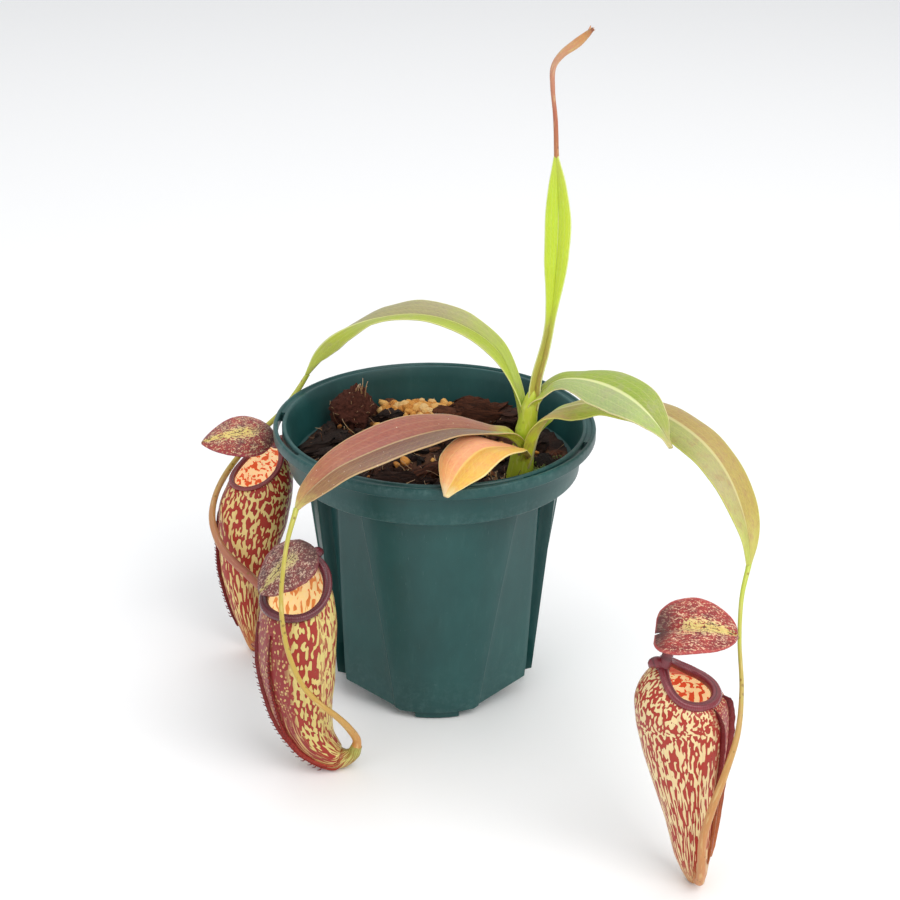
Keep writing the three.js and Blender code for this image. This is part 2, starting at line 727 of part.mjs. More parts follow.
add("pot", makePot(), "pot", 0.5);
add("potting_mix", makeMix(), "mix", 0.95);
add("fern_root_chunk", makeChunk(), "chunk", 0.95);
add("granule_heap", toGeometry(makeHeap()), "granule", 0.9);
add("stem", growth(STEM, { sides: 12, steps: 10 }), "stem");
for (const [name, leaf] of Object.entries(LEAVES)) add(name, makeBlade(leaf), leaf.colour, 0.5);
for (const [name, rows] of Object.entries(TENDRILS)) {
  const colour = name === "tendril_upright" ? "bud" : "tendril";
  add(name, growth(rows, { sides: 7, steps: Math.round(2.5 * rows.length) }), colour);
}
for (const [name, pitcher] of Object.entries(PITCHERS)) {
  add(`pitcher_${name}`, makePitcher(pitcher), "pitcher", 0.35);
  add(`lid_${name}`, makeLid(pitcher), "lid", 0.4);
}

export default plant;
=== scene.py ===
"""A young tropical pitcher plant in a green slotted nursery pot, dressed for rendering."""
import random
from math import atan2, cos, degrees, exp, hypot, pi, radians, sin, sqrt

import bmesh
import bpy
from mathutils import Matrix, Vector, noise


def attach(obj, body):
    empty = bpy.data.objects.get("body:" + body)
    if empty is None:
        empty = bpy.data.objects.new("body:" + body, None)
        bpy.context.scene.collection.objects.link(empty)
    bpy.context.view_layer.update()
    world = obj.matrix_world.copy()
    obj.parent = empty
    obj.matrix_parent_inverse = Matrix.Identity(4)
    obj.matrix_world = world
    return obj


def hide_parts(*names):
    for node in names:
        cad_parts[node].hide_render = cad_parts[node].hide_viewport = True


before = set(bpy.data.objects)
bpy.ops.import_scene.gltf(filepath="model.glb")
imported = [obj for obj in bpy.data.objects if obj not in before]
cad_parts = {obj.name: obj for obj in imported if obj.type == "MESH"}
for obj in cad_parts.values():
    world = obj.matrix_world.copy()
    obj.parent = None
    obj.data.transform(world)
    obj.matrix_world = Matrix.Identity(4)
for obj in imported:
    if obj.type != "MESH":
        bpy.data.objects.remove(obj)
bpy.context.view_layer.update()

MM = 0.001
UP = Vector((0, 0, 1))
TAU = 2 * pi


# ---------- camera ----------
def add_camera():
    height, back, focal = 0.2798, 0.4638, 72.0
    pitch, yaw, roll = (radians(a) for a in (24.23, 0.54, 0.76))
    look = Vector((sin(yaw) * cos(pitch), cos(yaw) * cos(pitch), -sin(pitch)))
    right = Vector((cos(yaw), -sin(yaw), 0))
    above = right.cross(look)
    turned = right * cos(roll) + above * sin(roll)
    above = above * cos(roll) - right * sin(roll)
    data = bpy.data.cameras.new("camera")
    data.lens, data.sensor_width, data.clip_start = focal, 36.0, 0.01
    camera = bpy.data.objects.new("camera", data)
    axes = Matrix((turned, above, -look)).transposed().to_4x4()
    camera.matrix_world = Matrix.Translation((0, -back, height)) @ axes
    bpy.context.scene.collection.objects.link(camera)
    bpy.context.scene.camera = camera


add_camera()


# ---------- measures, in millimetres ----------
POT = {
    "height": 80, "rim": 45.2, "inner": 41.5, "lip": 76.8, "collar_top": 41.6, "collar_low": 40.9,
    "shelf": 67.5, "foot": 2.2, "wall": 1.3, "panel": (29, 36.5), "facet": (31.3, 35.8),
    "groove": (28.4, 32.2), "half": (24, 36), "facet_end": (56, 50), "lift": 5, "turn": -87,
    "slot": (42.75, 43.95), "slots": (78, 192, 323), "slot_half": 20, "slits": (60, 180, 300),
    "pad": (23.5, 28.2), "pad_half": 13, "floor": 22,
}
MIX_LEVEL = 70
MIX_REACH = 37.9
STEM_FOOT = (25, -15)  # kept free of bark and granules
CHUNK = Vector((-24.3, 18.5, 75.5))
HEAP = (-6, 26)
COUNTS = {"chips": 330, "fibres": 190, "bundle": 16, "moss": 360, "heap": 120, "loose": 46, "tufts": 22,
          "standing": 9}  # of each small thing that is scattered

# [x, y, z, half width, tilt of the left half, tilt of the right half] along each midrib
LEAVES = {
    "leaf_back_left": (150, [
        [23.2, -13.4, 88, 2.2, 55, 60], [21.5, -10.5, 95, 2.3, 20, 45], [16.5, -4, 103, 3.3, -10, 36],
        [7, 2, 107.5, 5, 6, 32], [-5, 10, 107.5, 6, 8, 30], [-16, 15, 104.5, 5.6, 0, 24],
        [-24, 18, 101, 5, -35, 0], [-30, 20, 97, 4.6, -65, -30], [-34.5, 22, 91.5, 3.2, -75, -50],
        [-37.5, 23, 84.5, 0.7, -75, -60]]),
    "leaf_front_left": (217, [
        [22.9, -17.6, 80, 2.2, 50, 50], [20.0, -20.5, 84.5, 2.6, 35, 45], [14.5, -25, 87.5, 3.1, 10, 35],
        [4, -33, 91.5, 5.4, 4, 35], [-7.5, -41, 92, 7, 2, 36], [-19, -48, 90, 6.4, 0, 34],
        [-25.5, -52, 88, 5, -5, 32], [-32, -55, 83, 2.8, -10, 30], [-34.5, -57, 80, 0.7, 0, 30]]),
    "leaf_small": (230, [
        [25.4, -18.7, 77.8, 0.8, 30, 20], [23.5, -22.6, 81.2, 1.7, 15, 5], [19.5, -28.6, 84.4, 4.6, 5, 8],
        [12.4, -36, 87, 7, 0, 20], [7.4, -43, 85.6, 7, -5, 18], [4.4, -47, 82.2, 3.4, 0, 12],
        [3, -48.8, 79.8, 0.7, 0, 0]]),
    "leaf_right": (-37, [
        [27.6, -15.8, 92.3, 2.6, 55, 15], [29.6, -17, 96.2, 2.9, 48, -25], [32.8, -19, 99.9, 3.1, 34, -32],
        [38, -23, 102, 4.8, 14, -25], [44, -29, 103, 7, 15, -30], [49.5, -37, 103, 6.8, 18, -28],
        [53, -43, 102, 5.6, 25, -22], [56, -48, 100, 3.4, 28, -15], [57.5, -51, 98.5, 1.6, 25, -10],
        [59, -54, 96.5, 0.7, 0, 0]]),
    "leaf_right_long": (-50, [
        [26, -17, 75.7, 2.6, 45, 30], [26.8, -17.8, 80.6, 3.1, 35, 15], [28, -17.8, 85, 4, 22, -5],
        [31, -17.3, 89.4, 5.2, 6, -30], [37, -16.5, 91.6, 5.8, 0, -32], [45.5, -17, 93, 5.6, 0, -20],
        [53.5, -21, 94, 6, 2, -24], [60.6, -31, 95, 5.9, 4, -25], [68.4, -46, 94, 5.7, 6, -20],
        [73, -57, 90.5, 5.1, 10, -10], [75.5, -67, 85.5, 4.4, 18, 5], [76.5, -73, 80.5, 2.8, 20, 15],
        [76.5, -77, 75.5, 0.7, 15, 15]]),
    "leaf_upright": (80, [
        [27.2, -14.2, 97.2, 2.3, 50, 50], [29.2, -13, 106, 2.2, 50, 50], [30.4, -12.5, 113, 1.8, 45, 45],
        [31, -12, 119, 2.1, 35, 35], [31.8, -10, 131, 3.5, 22, 22], [32, -8, 140.5, 3.7, 20, 20],
        [31.6, -6, 150, 2.6, 25, 25], [31, -5, 157.5, 0.7, 30, 30]]),
}

# [x, y, z, radius]
STEM = [[19, -11, 58, 3.4], [23.4, -13.7, 70, 3.5], [24.2, -14.2, 77.5, 3.1], [24.9, -14.6, 84, 2.8],
        [25.6, -14.8, 90, 2.3], [26.5, -14.7, 96, 1.3]]
TENDRILS = {
    "tendril_back_left": [
        [-37.7, 23.2, 83.4, 0.7], [-40.5, 24, 78.5, 0.8], [-45, 24.5, 72, 0.8], [-51.5, 25.5, 65, 0.8],
        [-57, 24.5, 59, 0.8], [-61.4, 20.5, 54, 0.9], [-64.1, 13.5, 50, 0.9], [-64.6, 6.5, 45.8, 1],
        [-63, 2.2, 42, 1.1], [-60.5, -0.4, 38.4, 1.2], [-56.7, -1.8, 34.6, 1.2], [-52.7, -2, 30.6, 1.3],
        [-49.2, -1.6, 25.6, 1.2], [-47.4, -0.6, 18, 1.2], [-48.6, 2, 9.5, 1.2], [-51.4, 5, 3, 1.2]],
    "tendril_front_left": [
        [-34.9, -57.6, 79.2, 0.7], [-36.5, -62, 74, 0.6], [-37.5, -67, 67.5, 0.6], [-38, -69, 59.5, 0.6],
        [-37, -69, 47.5, 0.65], [-33.5, -68.5, 36, 0.7], [-29.5, -67, 29.5, 0.75], [-25, -62, 22, 0.85],
        [-22, -57, 15, 1], [-20.2, -53.6, 9.2, 1.15]],
    "tendril_right": [
        [76.4, -77.3, 75, 0.65], [74.6, -82, 70, 0.55], [73.4, -90, 62.5, 0.5], [73.2, -99, 54, 0.55],
        [71.8, -106, 46.5, 0.7], [68.8, -110.4, 38, 0.85], [66.4, -110.4, 28, 1], [65.2, -108.9, 18, 1.05],
        [65.8, -107, 8, 1.1], [66, -104.4, 2.6, 1.2]],
    "tendril_upright": [
        [31, -4.9, 158.3, 0.65], [30.5, -4, 167, 0.62], [29.5, -4, 175, 0.62], [29.5, -4, 180.5, 0.75],
        [31.5, -5, 184, 0.95], [35, -6, 187, 1.2], [37.5, -7, 189.5, 0.85], [39, -7, 191, 0.4]],
}

# where each tendril runs into the foot of its pitcher
FEET = {"tendril_back_left": [-53.8, 8.4, 2.8, 1.3], "tendril_front_left": [-20.4, -53, 6.6, 1.4],
        "tendril_right": [65.7, -101.4, 3, 1.6]}

# Rows of [x, y, z, radius] up the axis, and the direction that the wings face. The lip slopes from the
# end of the axis at the back to the fraction "low" of it, "skew" degrees from that direction, and the
# wall draws in by "tuck" below it. "lip" is the size of the rolled collar.
PITCHERS = {
    "left": {
        "facing": 172, "low": 0.772, "skew": 44, "neck": 1.15, "tuck": 2.6, "lip": 0.66, "zone": 0.62,
        "rows": [
            [-53.5, 9.6, 0, 1.8], [-54.5, 10, 6, 3.3], [-55.5, 9.4, 17.5, 5.6], [-55.5, 9.4, 28.5, 7.8],
            [-54.5, 10, 37, 9.2], [-53.2, 11.2, 44.5, 10.3], [-51.8, 12.6, 52.5, 10.4], [-51, 13, 59.3, 10],
            [-51, 12.5, 65, 9]],
        "wing": [1.3, 0.6], "top": 0.8, "hook": 0.2, "slot": "pitcher_red",
        "lid": {"hinge": (-47, 15.5, 68.8), "tip": (-66.5, 8, 70.2), "half": 7.6, "roll": -32, "fold": 0,
                "round": 0.72, "lobe": 0.6, "bump": 0.1},
    },
    "middle": {
        "facing": 212, "low": 0.9, "skew": 27, "neck": 1.8, "tuck": 1, "lip": 0.92, "zone": 1.05,
        "rows": [
            [-20.2, -53, 7.2, 1.5], [-21.4, -53, 4.4, 1.9], [-25, -52.6, 3, 3.2], [-30.5, -52.3, 7.4, 5.4],
            [-33.5, -52.5, 14, 7.1], [-34.7, -53, 20, 8.3], [-35.2, -53.3, 27, 9.5], [-35.6, -54, 35, 10.3],
            [-35.3, -55, 44.9, 10.5], [-35, -56.1, 53.7, 9.9], [-35.1, -57.1, 62.1, 8.7]],
        "wing": [1.1, 1.1], "top": 0.92, "hook": 0.5, "slot": "pitcher_red",
        "lid": {"hinge": (-31.8, -51.4, 66.4), "tip": (-44.3, -61.5, 59.2), "half": 7.2, "roll": -22,
                "fold": 0, "round": 0.6, "lobe": 0.8, "bump": 0.45},
    },
    "right": {
        "facing": -24, "low": 0.858, "skew": 22, "neck": 2, "tuck": 1.2, "lip": 1.0, "zone": 0.62,
        "rows": [
            [66, -100, 0, 2.3], [65.4, -100, 3.4, 3.4], [64.5, -100, 8.8, 4.8], [63.5, -99, 18.5, 6.5],
            [62, -98, 29, 8.6], [61, -97, 37, 10.3], [60, -96, 45, 11.2], [59.2, -96.1, 49.8, 11],
            [59.3, -96.3, 53.7, 9.4], [60.2, -96.9, 57.5, 7.2]],
        "wing": [0.9, 2.0], "top": 0.95, "hook": 0.0, "slot": "pitcher_cream",
        "lid": {"hinge": (54.8, -95.3, 67), "tip": (70.4, -100.2, 70.9), "half": 9.2, "roll": 26, "fold": 21,
                "round": 0.4, "lobe": 2.6, "bump": 0.15},
    },
}
SHOULDER = 0.8  # fraction of the way to the lip at which a wall starts to draw in
SKIN_RADIUS = 9  # of the cylinder on which the patterns of the pitchers lie
CUP_WALL = 0.8
WING_TURN = 0.32  # radians from the front to each wing
HOOKS = 30  # along each fringed wing


# ---------- curves and meshes ----------
def lerp(a, b, t):
    return a + (b - a) * t


def smooth(low, high, x):
    t = min(1, max(0, (x - low) / (high - low)))
    return t * t * (3 - 2 * t)


def scatter(rng, reach):
    """An even random place on a disc, and its distance from the middle."""
    r, a = reach * sqrt(rng.random()), rng.uniform(0, TAU)
    return r * cos(a), r * sin(a), r


def spot_in(rng, low, high):
    return Vector([rng.uniform(low, high) for _ in range(3)])


def polar(radius, angle, z=0):
    return Vector((radius * cos(angle), radius * sin(angle), z))


def spline(points):
    """A centripetal spline through the points, as a function of the fraction of them passed."""
    points = [Vector(p) for p in points]
    last = len(points) - 1

    def at(fraction):
        place = min(max(fraction, 0), 1) * last
        i = min(int(place), last - 1)
        w = place - i
        before = points[i - 1] if i else points[0] * 2 - points[1]
        after = points[i + 2] if i + 2 <= last else points[last] * 2 - points[last - 1]
        a, b = points[i], points[i + 1]
        mid = sqrt((b - a).length) or 1
        d0 = sqrt((a - before).length) or mid
        d2 = sqrt((after - b).length) or mid
        ta = ((a - before) / d0 - (b - before) / (d0 + mid) + (b - a) / mid) * mid
        tb = ((b - a) / mid - (after - a) / (mid + d2) + (after - b) / d2) * mid
        return a + ta * w + (b * 3 - a * 3 - ta * 2 - tb) * w * w + (a * 2 - b * 2 + ta + tb) * w ** 3

    return at


def reader(rows):
    """Point, direction and the other columns of a table of rows, as a function of the fraction."""
    path = spline([r[:3] for r in rows])
    extra = spline([(r[3:] + [0, 0])[:3] for r in rows])

    def at(u):
        low, high = max(0, u - 1e-4), min(1, u + 1e-4)
        return path(u), (path(high) - path(low)).normalized(), extra(u)

    return at


class Skin:
    """A mesh under construction, with a flow vector and a map position for every vertex."""

    def __init__(self):
        self.places, self.faces, self.flow, self.tint, self.maps, self.kinds = [], [], [], [], [], []

    def rings(self, rings, caps=True, kinds=None):
        """A skin through rings of (place, flow, tint). `kinds` holds the number of each ring's material."""
        base, count = len(self.places), len(rings[0])
        for ring in rings:
            for place, flow, tint in ring:
                self.places.append(place)
                self.flow.append(flow)
                self.tint.append(tint)
        level = [i / (len(rings) - 1) for i in range(len(rings))]
        kinds = kinds or [0] * len(rings)
        for i in range(len(rings) - 1):
            for j in range(count):
                k = (j + 1) % count
                a, b = base + i * count + j, base + i * count + k
                self.faces.append((a, b, b + count, a + count))
                u, v = j / count, (j + 1) / count
                self.maps.append(((u, level[i]), (v, level[i]), (v, level[i + 1]), (u, level[i + 1])))
                self.kinds.append(kinds[i])
        if caps:
            for i in (0, len(rings) - 1):
                face = [base + i * count + j for j in range(count)]
                self.faces.append(tuple(face if i else reversed(face)))
                self.maps.append(tuple((0.5, level[i]) for _ in face))
                self.kinds.append(kinds[i])

    def solid(self, mesh, flow, tint=(0, 0, 0)):
        """Adds a finished bmesh, with one tint for the whole of it."""
        base = len(self.places)
        mesh.verts.ensure_lookup_table()
        for v in mesh.verts:
            self.places.append(v.co.copy())
            self.flow.append(flow(v.co))
            self.tint.append(tint)
        for f in mesh.faces:
            self.faces.append(tuple(base + v.index for v in f.verts))
            self.maps.append(tuple((0, 0) for _ in f.verts))
            self.kinds.append(0)

    def done(self, name, materials, node, slot, sharp=None):
        """Makes the piece. `sharp` is the angle in degrees from which its edges are drawn sharp."""
        mesh = bpy.data.meshes.new(name)
        mesh.from_pydata([p * MM for p in self.places], [], self.faces)
        for label, values in (("flow", self.flow), ("tint", self.tint)):
            layer = mesh.attributes.new(label, "FLOAT_VECTOR", "POINT")
            layer.data.foreach_set("vector", [c for v in values for c in v])
        uv = mesh.uv_layers.new(name="map")
        uv.data.foreach_set("uv", [c for face in self.maps for corner in face for c in corner])
        for material in materials:
            mesh.materials.append(material)
        mesh.polygons.foreach_set("material_index", self.kinds)
        mesh.polygons.foreach_set("use_smooth", [True] * len(self.faces))
        work = bmesh.new()
        work.from_mesh(mesh)
        bmesh.ops.recalc_face_normals(work, faces=work.faces)
        work.to_mesh(mesh)
        work.free()
        if sharp:
            mesh.set_sharp_from_angle(angle=radians(sharp))
        piece = bpy.data.objects.new(name, mesh)
        bpy.context.scene.collection.objects.link(piece)
        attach(piece, "root")
        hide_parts(node)
        return piece


def walk(rows, steps):
    """Fraction, point, direction, other columns and distance so far at even fractions of the rows."""
    at, run, before = reader(rows), 0.0, None
    for i in range(steps + 1):
        point, along, more = at(i / steps)
        run += (point - before).length if before is not None else 0
        before = point.copy()
        yield i / steps, point, along, more, run


def tube(skin, rows, sides, steps, swell=None, kind=0, offset=0.0):
    """A round growth along rows of [x, y, z, radius]; flow holds the turn and the distance along."""
    across, rings = None, []
    for u, point, along, more, run in walk(rows, steps):
        if across is None:
            across = UP.copy() if abs(along.z) < 0.9 else Vector((1, 0, 0))
        across = (across - along * across.dot(along)).normalized()
        third = along.cross(across)
        radius = max(0.02, more.x * (swell(u) if swell else 1))
        ring = []
        for j in range(sides):
            a = TAU * j / sides
            place = point + (across * cos(a) + third * sin(a)) * radius
            ring.append((place, tuple(polar(radius, a, run + offset)), (u, 0, 0)))
        rings.append(ring)
    skin.rings(rings, kinds=[kind] * len(rings))


# ---------- materials ----------
def linear(code):
    parts = [int(code[i:i + 2], 16) / 255 for i in (0, 2, 4)]
    return tuple(c / 12.92 if c <= 0.04045 else ((c + 0.055) / 1.055) ** 2.4 for c in parts) + (1.0,)


class Paint:
    """A node material with short calls for the nodes used here."""

    def __init__(self, name, **sockets):
        self.material = bpy.data.materials.new(name)
        self.material.use_nodes = True
        self.tree = self.material.node_tree
        self.shader = self.tree.nodes["Principled BSDF"]
        for key, value in sockets.items():
            self.shader.inputs[key.replace("_", " ")].default_value = value

    def node(self, kind, inputs=(), out=0, **settings):
        made = self.tree.nodes.new("ShaderNode" + kind)
        for key, value in settings.items():
            setattr(made, key, value)
        for key, value in dict(inputs).items():
            if isinstance(value, bpy.types.NodeSocket):
                self.tree.links.new(value, made.inputs[key])
            else:
                made.inputs[key].default_value = value
        return made.outputs[out]

    def flow(self, name="flow"):
        return self.node("Attribute", attribute_name=name, out="Vector")

    def parts(self, vector):
        return self.node("SeparateXYZ", {0: vector}).node.outputs[:3]

    def tints(self):
        return self.parts(self.flow("tint"))

    def math(self, operation, a, b=0.0, c=0.0):
        return self.node("Math", {0: a, 1: b, 2: c}, operation=operation)

    def times(self, a, b):
        return self.math("MULTIPLY", a, b)

    def plus(self, a, b):
        return self.math("ADD", a, b)

    def minus(self, a, b):
        return self.math("SUBTRACT", a, b)

    def line(self, x, slope, start):
        return self.math("MULTIPLY_ADD", x, slope, start)

    def size(self, x):
        return self.math("ABSOLUTE", x)

    def cosine(self, x):
        return self.math("COSINE", x)

    def scaled(self, vector, factors):
        return self.node("VectorMath", {0: vector, 1: factors}, operation="MULTIPLY")

    def at_scale(self, vector, scale):
        """The sockets that place a pattern. Three scales in a tuple stretch it."""
        if isinstance(scale, tuple):
            vector, scale = self.scaled(vector, scale), 1.0
        return {"Vector": vector, "Scale": scale}

    def noise(self, vector, scale, detail=3.0, rough=0.5, warp=0.0):
        sockets = {"Detail": detail, "Roughness": rough, "Distortion": warp}
        return self.node("TexNoise", {**self.at_scale(vector, scale), **sockets})

    def cells(self, vector, scale, feature="F1"):
        return self.node("TexVoronoi", self.at_scale(vector, scale), feature=feature)

    def ramp(self, value, stops):
        made = self.node("ValToRGB", {0: value}).node
        points = made.color_ramp.elements
        while len(points) < len(stops):
            points.new(0.5)
        for point, (place, colour) in zip(points, stops):
            point.position = place
            point.color = linear(colour) if isinstance(colour, str) else (colour, colour, colour, 1)
        return made.outputs[0]

    def mix(self, factor, a, b, blend="MIX"):
        sockets = {0: factor}
        for key, value in ((6, a), (7, b)):
            sockets[key] = linear(value) if isinstance(value, str) else value
        return self.node("Mix", sockets, out=2, data_type="RGBA", blend_type=blend)

    def lay(self, colour, where, share, tone, blend="MIX"):
        """`tone` laid over `colour` at the strength `share` wherever `where` is 1."""
        return self.mix(self.times(where, share), colour, tone, blend)

    def step(self, value, low, high):
        return self.node("MapRange", {0: value, 1: low, 2: high}, interpolation_type="SMOOTHSTEP")

    def finish(self, colour, height=None, strength=0.3, distance=0.0002, rough=None):
        self.tree.links.new(colour, self.shader.inputs["Base Color"])
        if height is not None:
            bump = self.node("Bump", {"Height": height, "Strength": strength, "Distance": distance})
            self.tree.links.new(bump, self.shader.inputs["Normal"])
        if rough is not None:
            self.tree.links.new(rough, self.shader.inputs["Roughness"])
        return self.material


def pot_plastic():
    p = Paint("pot_plastic", Roughness=0.4, Specular_IOR_Level=0.38)
    place = p.scaled(p.node("TexCoord", out="Object"), (1000, 1000, 1000))
    z = p.parts(place)[2]
    cloud = p.noise(place, (0.05, 0.05, 0.025), 4, 0.6)
    fine = p.noise(place, 2.6, 3, 0.6)
    colour = p.ramp(cloud, [(0.3, "153f3e"), (0.5, "1a4847"), (0.7, "20514f")])
    streaks = p.noise(place, (0.5, 0.5, 0.07), 5, 0.7)
    colour = p.lay(colour, p.step(streaks, 0.52, 0.82), 0.14, "51766f")
    specks = p.step(p.noise(place, 1.7, 2, 0.8), 0.72, 0.78)
    colour = p.lay(colour, specks, 0.18, "86a19b")
    scratch = p.noise(place, (2.4, 2.4, 0.12), 3, 0.7)
    colour = p.lay(colour, p.step(scratch, 0.66, 0.74), 0.16, "7d9c95")
    wear = p.tints()[0]
    worn = p.times(wear, p.step(p.noise(place, 0.6, 4, 0.7), 0.4, 0.75))
    colour = p.lay(colour, worn, 0.22, "7b9a95")
    low = p.times(p.step(z, 6.0, 0.0), p.step(p.noise(place, 0.35, 4, 0.7), 0.45, 0.65))
    colour = p.lay(colour, low, 0.14, "4e6a5f")
    rough = p.line(fine, 0.22, 0.28)
    return p.finish(colour, p.plus(fine, p.times(cloud, 3.0)), 0.12, 0.0002, rough)


def leaf_paint(name, far, near, midrib, margin, blush, under="a4b050", specks=0.0):
    """`far` and `near` are colour stops along the left half and the right half of the blade. `midrib` is a
    colour or stops, `blush` is (colour, low, high, strength) of the patches."""
    p = Paint(name, Roughness=0.36, Specular_IOR_Level=0.5, Subsurface_Weight=0.12,
              Subsurface_Scale=0.002, Sheen_Weight=0.04)
    p.shader.inputs["Subsurface Radius"].default_value = (0.6, 1.0, 0.2)
    run, across, side = p.parts(p.flow())
    u = p.tints()[0]
    place = p.node("CombineXYZ", {0: run, 1: p.times(across, 6.0), 2: side})
    cloud = p.noise(place, 0.35, 4, 0.6)
    grain = p.noise(p.scaled(place, (0.8, 4.0, 1.0)), 1.1, 4, 0.65)
    level = p.plus(u, p.line(cloud, 0.16, -0.08))
    colour = p.mix(p.step(across, 0.03, -0.03), p.ramp(level, far), p.ramp(level, near))
    tone, low, high, strength = blush
    colour = p.lay(colour, p.step(p.noise(place, 0.22, 5, 0.7), low, high), strength, tone)
    reach = p.size(across)
    colour = p.lay(colour, p.step(grain, 0.42, 0.75), 0.3, "e6e08f", "SOFT_LIGHT")
    colour = p.lay(colour, p.step(grain, 0.52, 0.3), 0.35, "3c4a12", "SOFT_LIGHT")
    # three lengthwise veins in each half, and fine slanted ones between them
    veins = p.math("POWER", p.size(p.cosine(p.times(reach, 11.0))), 26.0)
    slant = p.plus(p.times(run, 1.9), p.times(reach, -16.0))
    slant = p.math("SINE", p.plus(slant, p.times(cloud, 4.0)))
    slant = p.math("POWER", p.size(slant), 12.0)
    colour = p.lay(colour, veins, 0.13, margin)
    colour = p.lay(colour, slant, 0.06, margin)
    back = p.times(p.tints()[1], p.step(u, 0.2, 0.42))
    colour = p.lay(colour, back, 0.55, under)
    rib = p.step(reach, 0.085, 0.035)
    colour = p.lay(colour, rib, 0.85, p.ramp(u, midrib) if isinstance(midrib, list) else midrib)
    rim = p.step(p.plus(reach, p.line(grain, 0.04, -0.02)), 0.94, 0.985)
    colour = p.lay(colour, rim, 0.8, margin)
    if specks:
        dots = p.step(p.cells(place, 0.55), 0.085, 0.04)
        colour = p.lay(colour, dots, specks, "efe4d2")
    height = p.plus(p.times(veins, -0.5), p.times(slant, -0.25))
    height = p.plus(height, p.times(grain, 0.6))
    rough = p.line(grain, 0.25, 0.26)
    return p.finish(colour, height, 0.35, 0.00025, rough)


def tendril_paint(name, stops, dots):
    p = Paint(name, Roughness=0.4, Specular_IOR_Level=0.5, Subsurface_Weight=0.1, Subsurface_Scale=0.001)
    place = p.flow()
    u = p.tints()[0]
    streak = p.noise(place, (1.6, 1.6, 0.22), 4, 0.6)
    colour = p.ramp(p.plus(u, p.line(streak, 0.3, -0.15)), stops)
    colour = p.lay(colour, p.step(streak, 0.5, 0.72), 0.35, "e9e29a")
    spots = p.step(p.cells(place, 0.42), 0.2, 0.12)
    colour = p.lay(colour, spots, 0.75, dots)
    fuzz = p.noise(place, 3.5, 3, 0.7)
    return p.finish(colour, p.plus(fuzz, streak), 0.3, 0.00015)


def pitcher_paint(name, cream, red, dark, wing, base, cover, grain, lean, peak, flank=None):
    """Blotched skin. flow is (R cos, R sin, stretched height), tint is (height, turn, wing zone).

    cover is the share of red, grain its fineness across and along, lean how much it gathers towards
    the turn `peak`, and flank the turn near which it thins to dashes."""
    p = Paint(name, Roughness=0.4, Specular_IOR_Level=0.35, Subsurface_Weight=0.08,
              Subsurface_Scale=0.0012, Coat_Weight=0.06, Coat_Roughness=0.25)
    place = p.flow()
    height, turn, zone = p.tints()
    wide = {"Vector": p.scaled(place, (0.55, 0.55, 0.3)), "Scale": 1.0, "Detail": 2.0}
    push = p.node("TexNoise", wide, out="Color")
    push = p.node("VectorMath", {0: push, 1: (0.5, 0.5, 0.5)}, operation="SUBTRACT")
    moved = p.node("VectorMath", {0: push, 1: (0.9, 0.9, 1.2), 2: place}, operation="MULTIPLY_ADD")
    across, up = grain
    blot = p.noise(moved, (across, across, up), 0)
    net = p.cells(moved, (across * 0.55, across * 0.55, up * 0.55), "DISTANCE_TO_EDGE")
    value = p.line(p.minus(0.16, net), 0.35, blot)
    around = p.cosine(p.minus(turn, peak))
    cut = p.line(around, -0.1 * lean, 0.5 + (0.5 - cover) * 0.3)
    cut = p.minus(cut, p.times(zone, 0.1))
    over = p.minus(value, cut)
    inked = p.step(over, -0.006, 0.008)
    fresh = p.step(over, -0.01, 0.05)
    if flank is not None:
        dashes = p.noise(moved, (1.5, 1.5, 0.3), 1.5, 0.4)
        thin = p.step(p.cosine(p.minus(turn, flank)), 0.55, 0.85)
        inked = p.mix(thin, inked, p.step(dashes, 0.535, 0.55))
        fresh = p.math("MAXIMUM", fresh, thin)
    soft = p.noise(place, (0.35, 0.35, 0.12), 4, 0.6)
    pale = p.mix(soft, cream, p.mix(0.45, cream, base))
    deep = p.mix(p.times(fresh, 0.85), dark, red)
    deep = p.mix(p.times(p.step(soft, 0.45, 0.25), 0.4), deep, dark)
    colour = p.mix(inked, pale, deep)
    # the strip between the wings is dusky, with small pale specks above and pale streaks below
    specks = p.step(p.cells(p.scaled(place, (1.0, 1.0, 0.6)), 1.25), 0.36, 0.26)
    streaks = p.step(p.noise(place, (2.0, 2.0, 0.1), 2, 0.5), 0.56, 0.62)
    marks = p.mix(p.step(height, 0.42, 0.62), streaks, specks)
    colour = p.lay(colour, zone, 0.86, p.mix(p.times(marks, 0.75), wing, cream))
    low = p.times(p.step(height, 0.24, 0.03), p.line(soft, 0.6, 0.4))
    colour = p.mix(low, colour, base)
    lines = p.noise(place, (2.6, 2.6, 0.05), 3, 0.6)
    colour = p.lay(colour, p.step(lines, 0.52, 0.7), 0.16, dark)
    relief = p.plus(p.times(inked, 0.4), p.times(lines, 0.8))
    relief = p.plus(relief, p.noise(place, 2.4, 3, 0.6))
    return p.finish(colour, relief, 0.25, 0.0002)


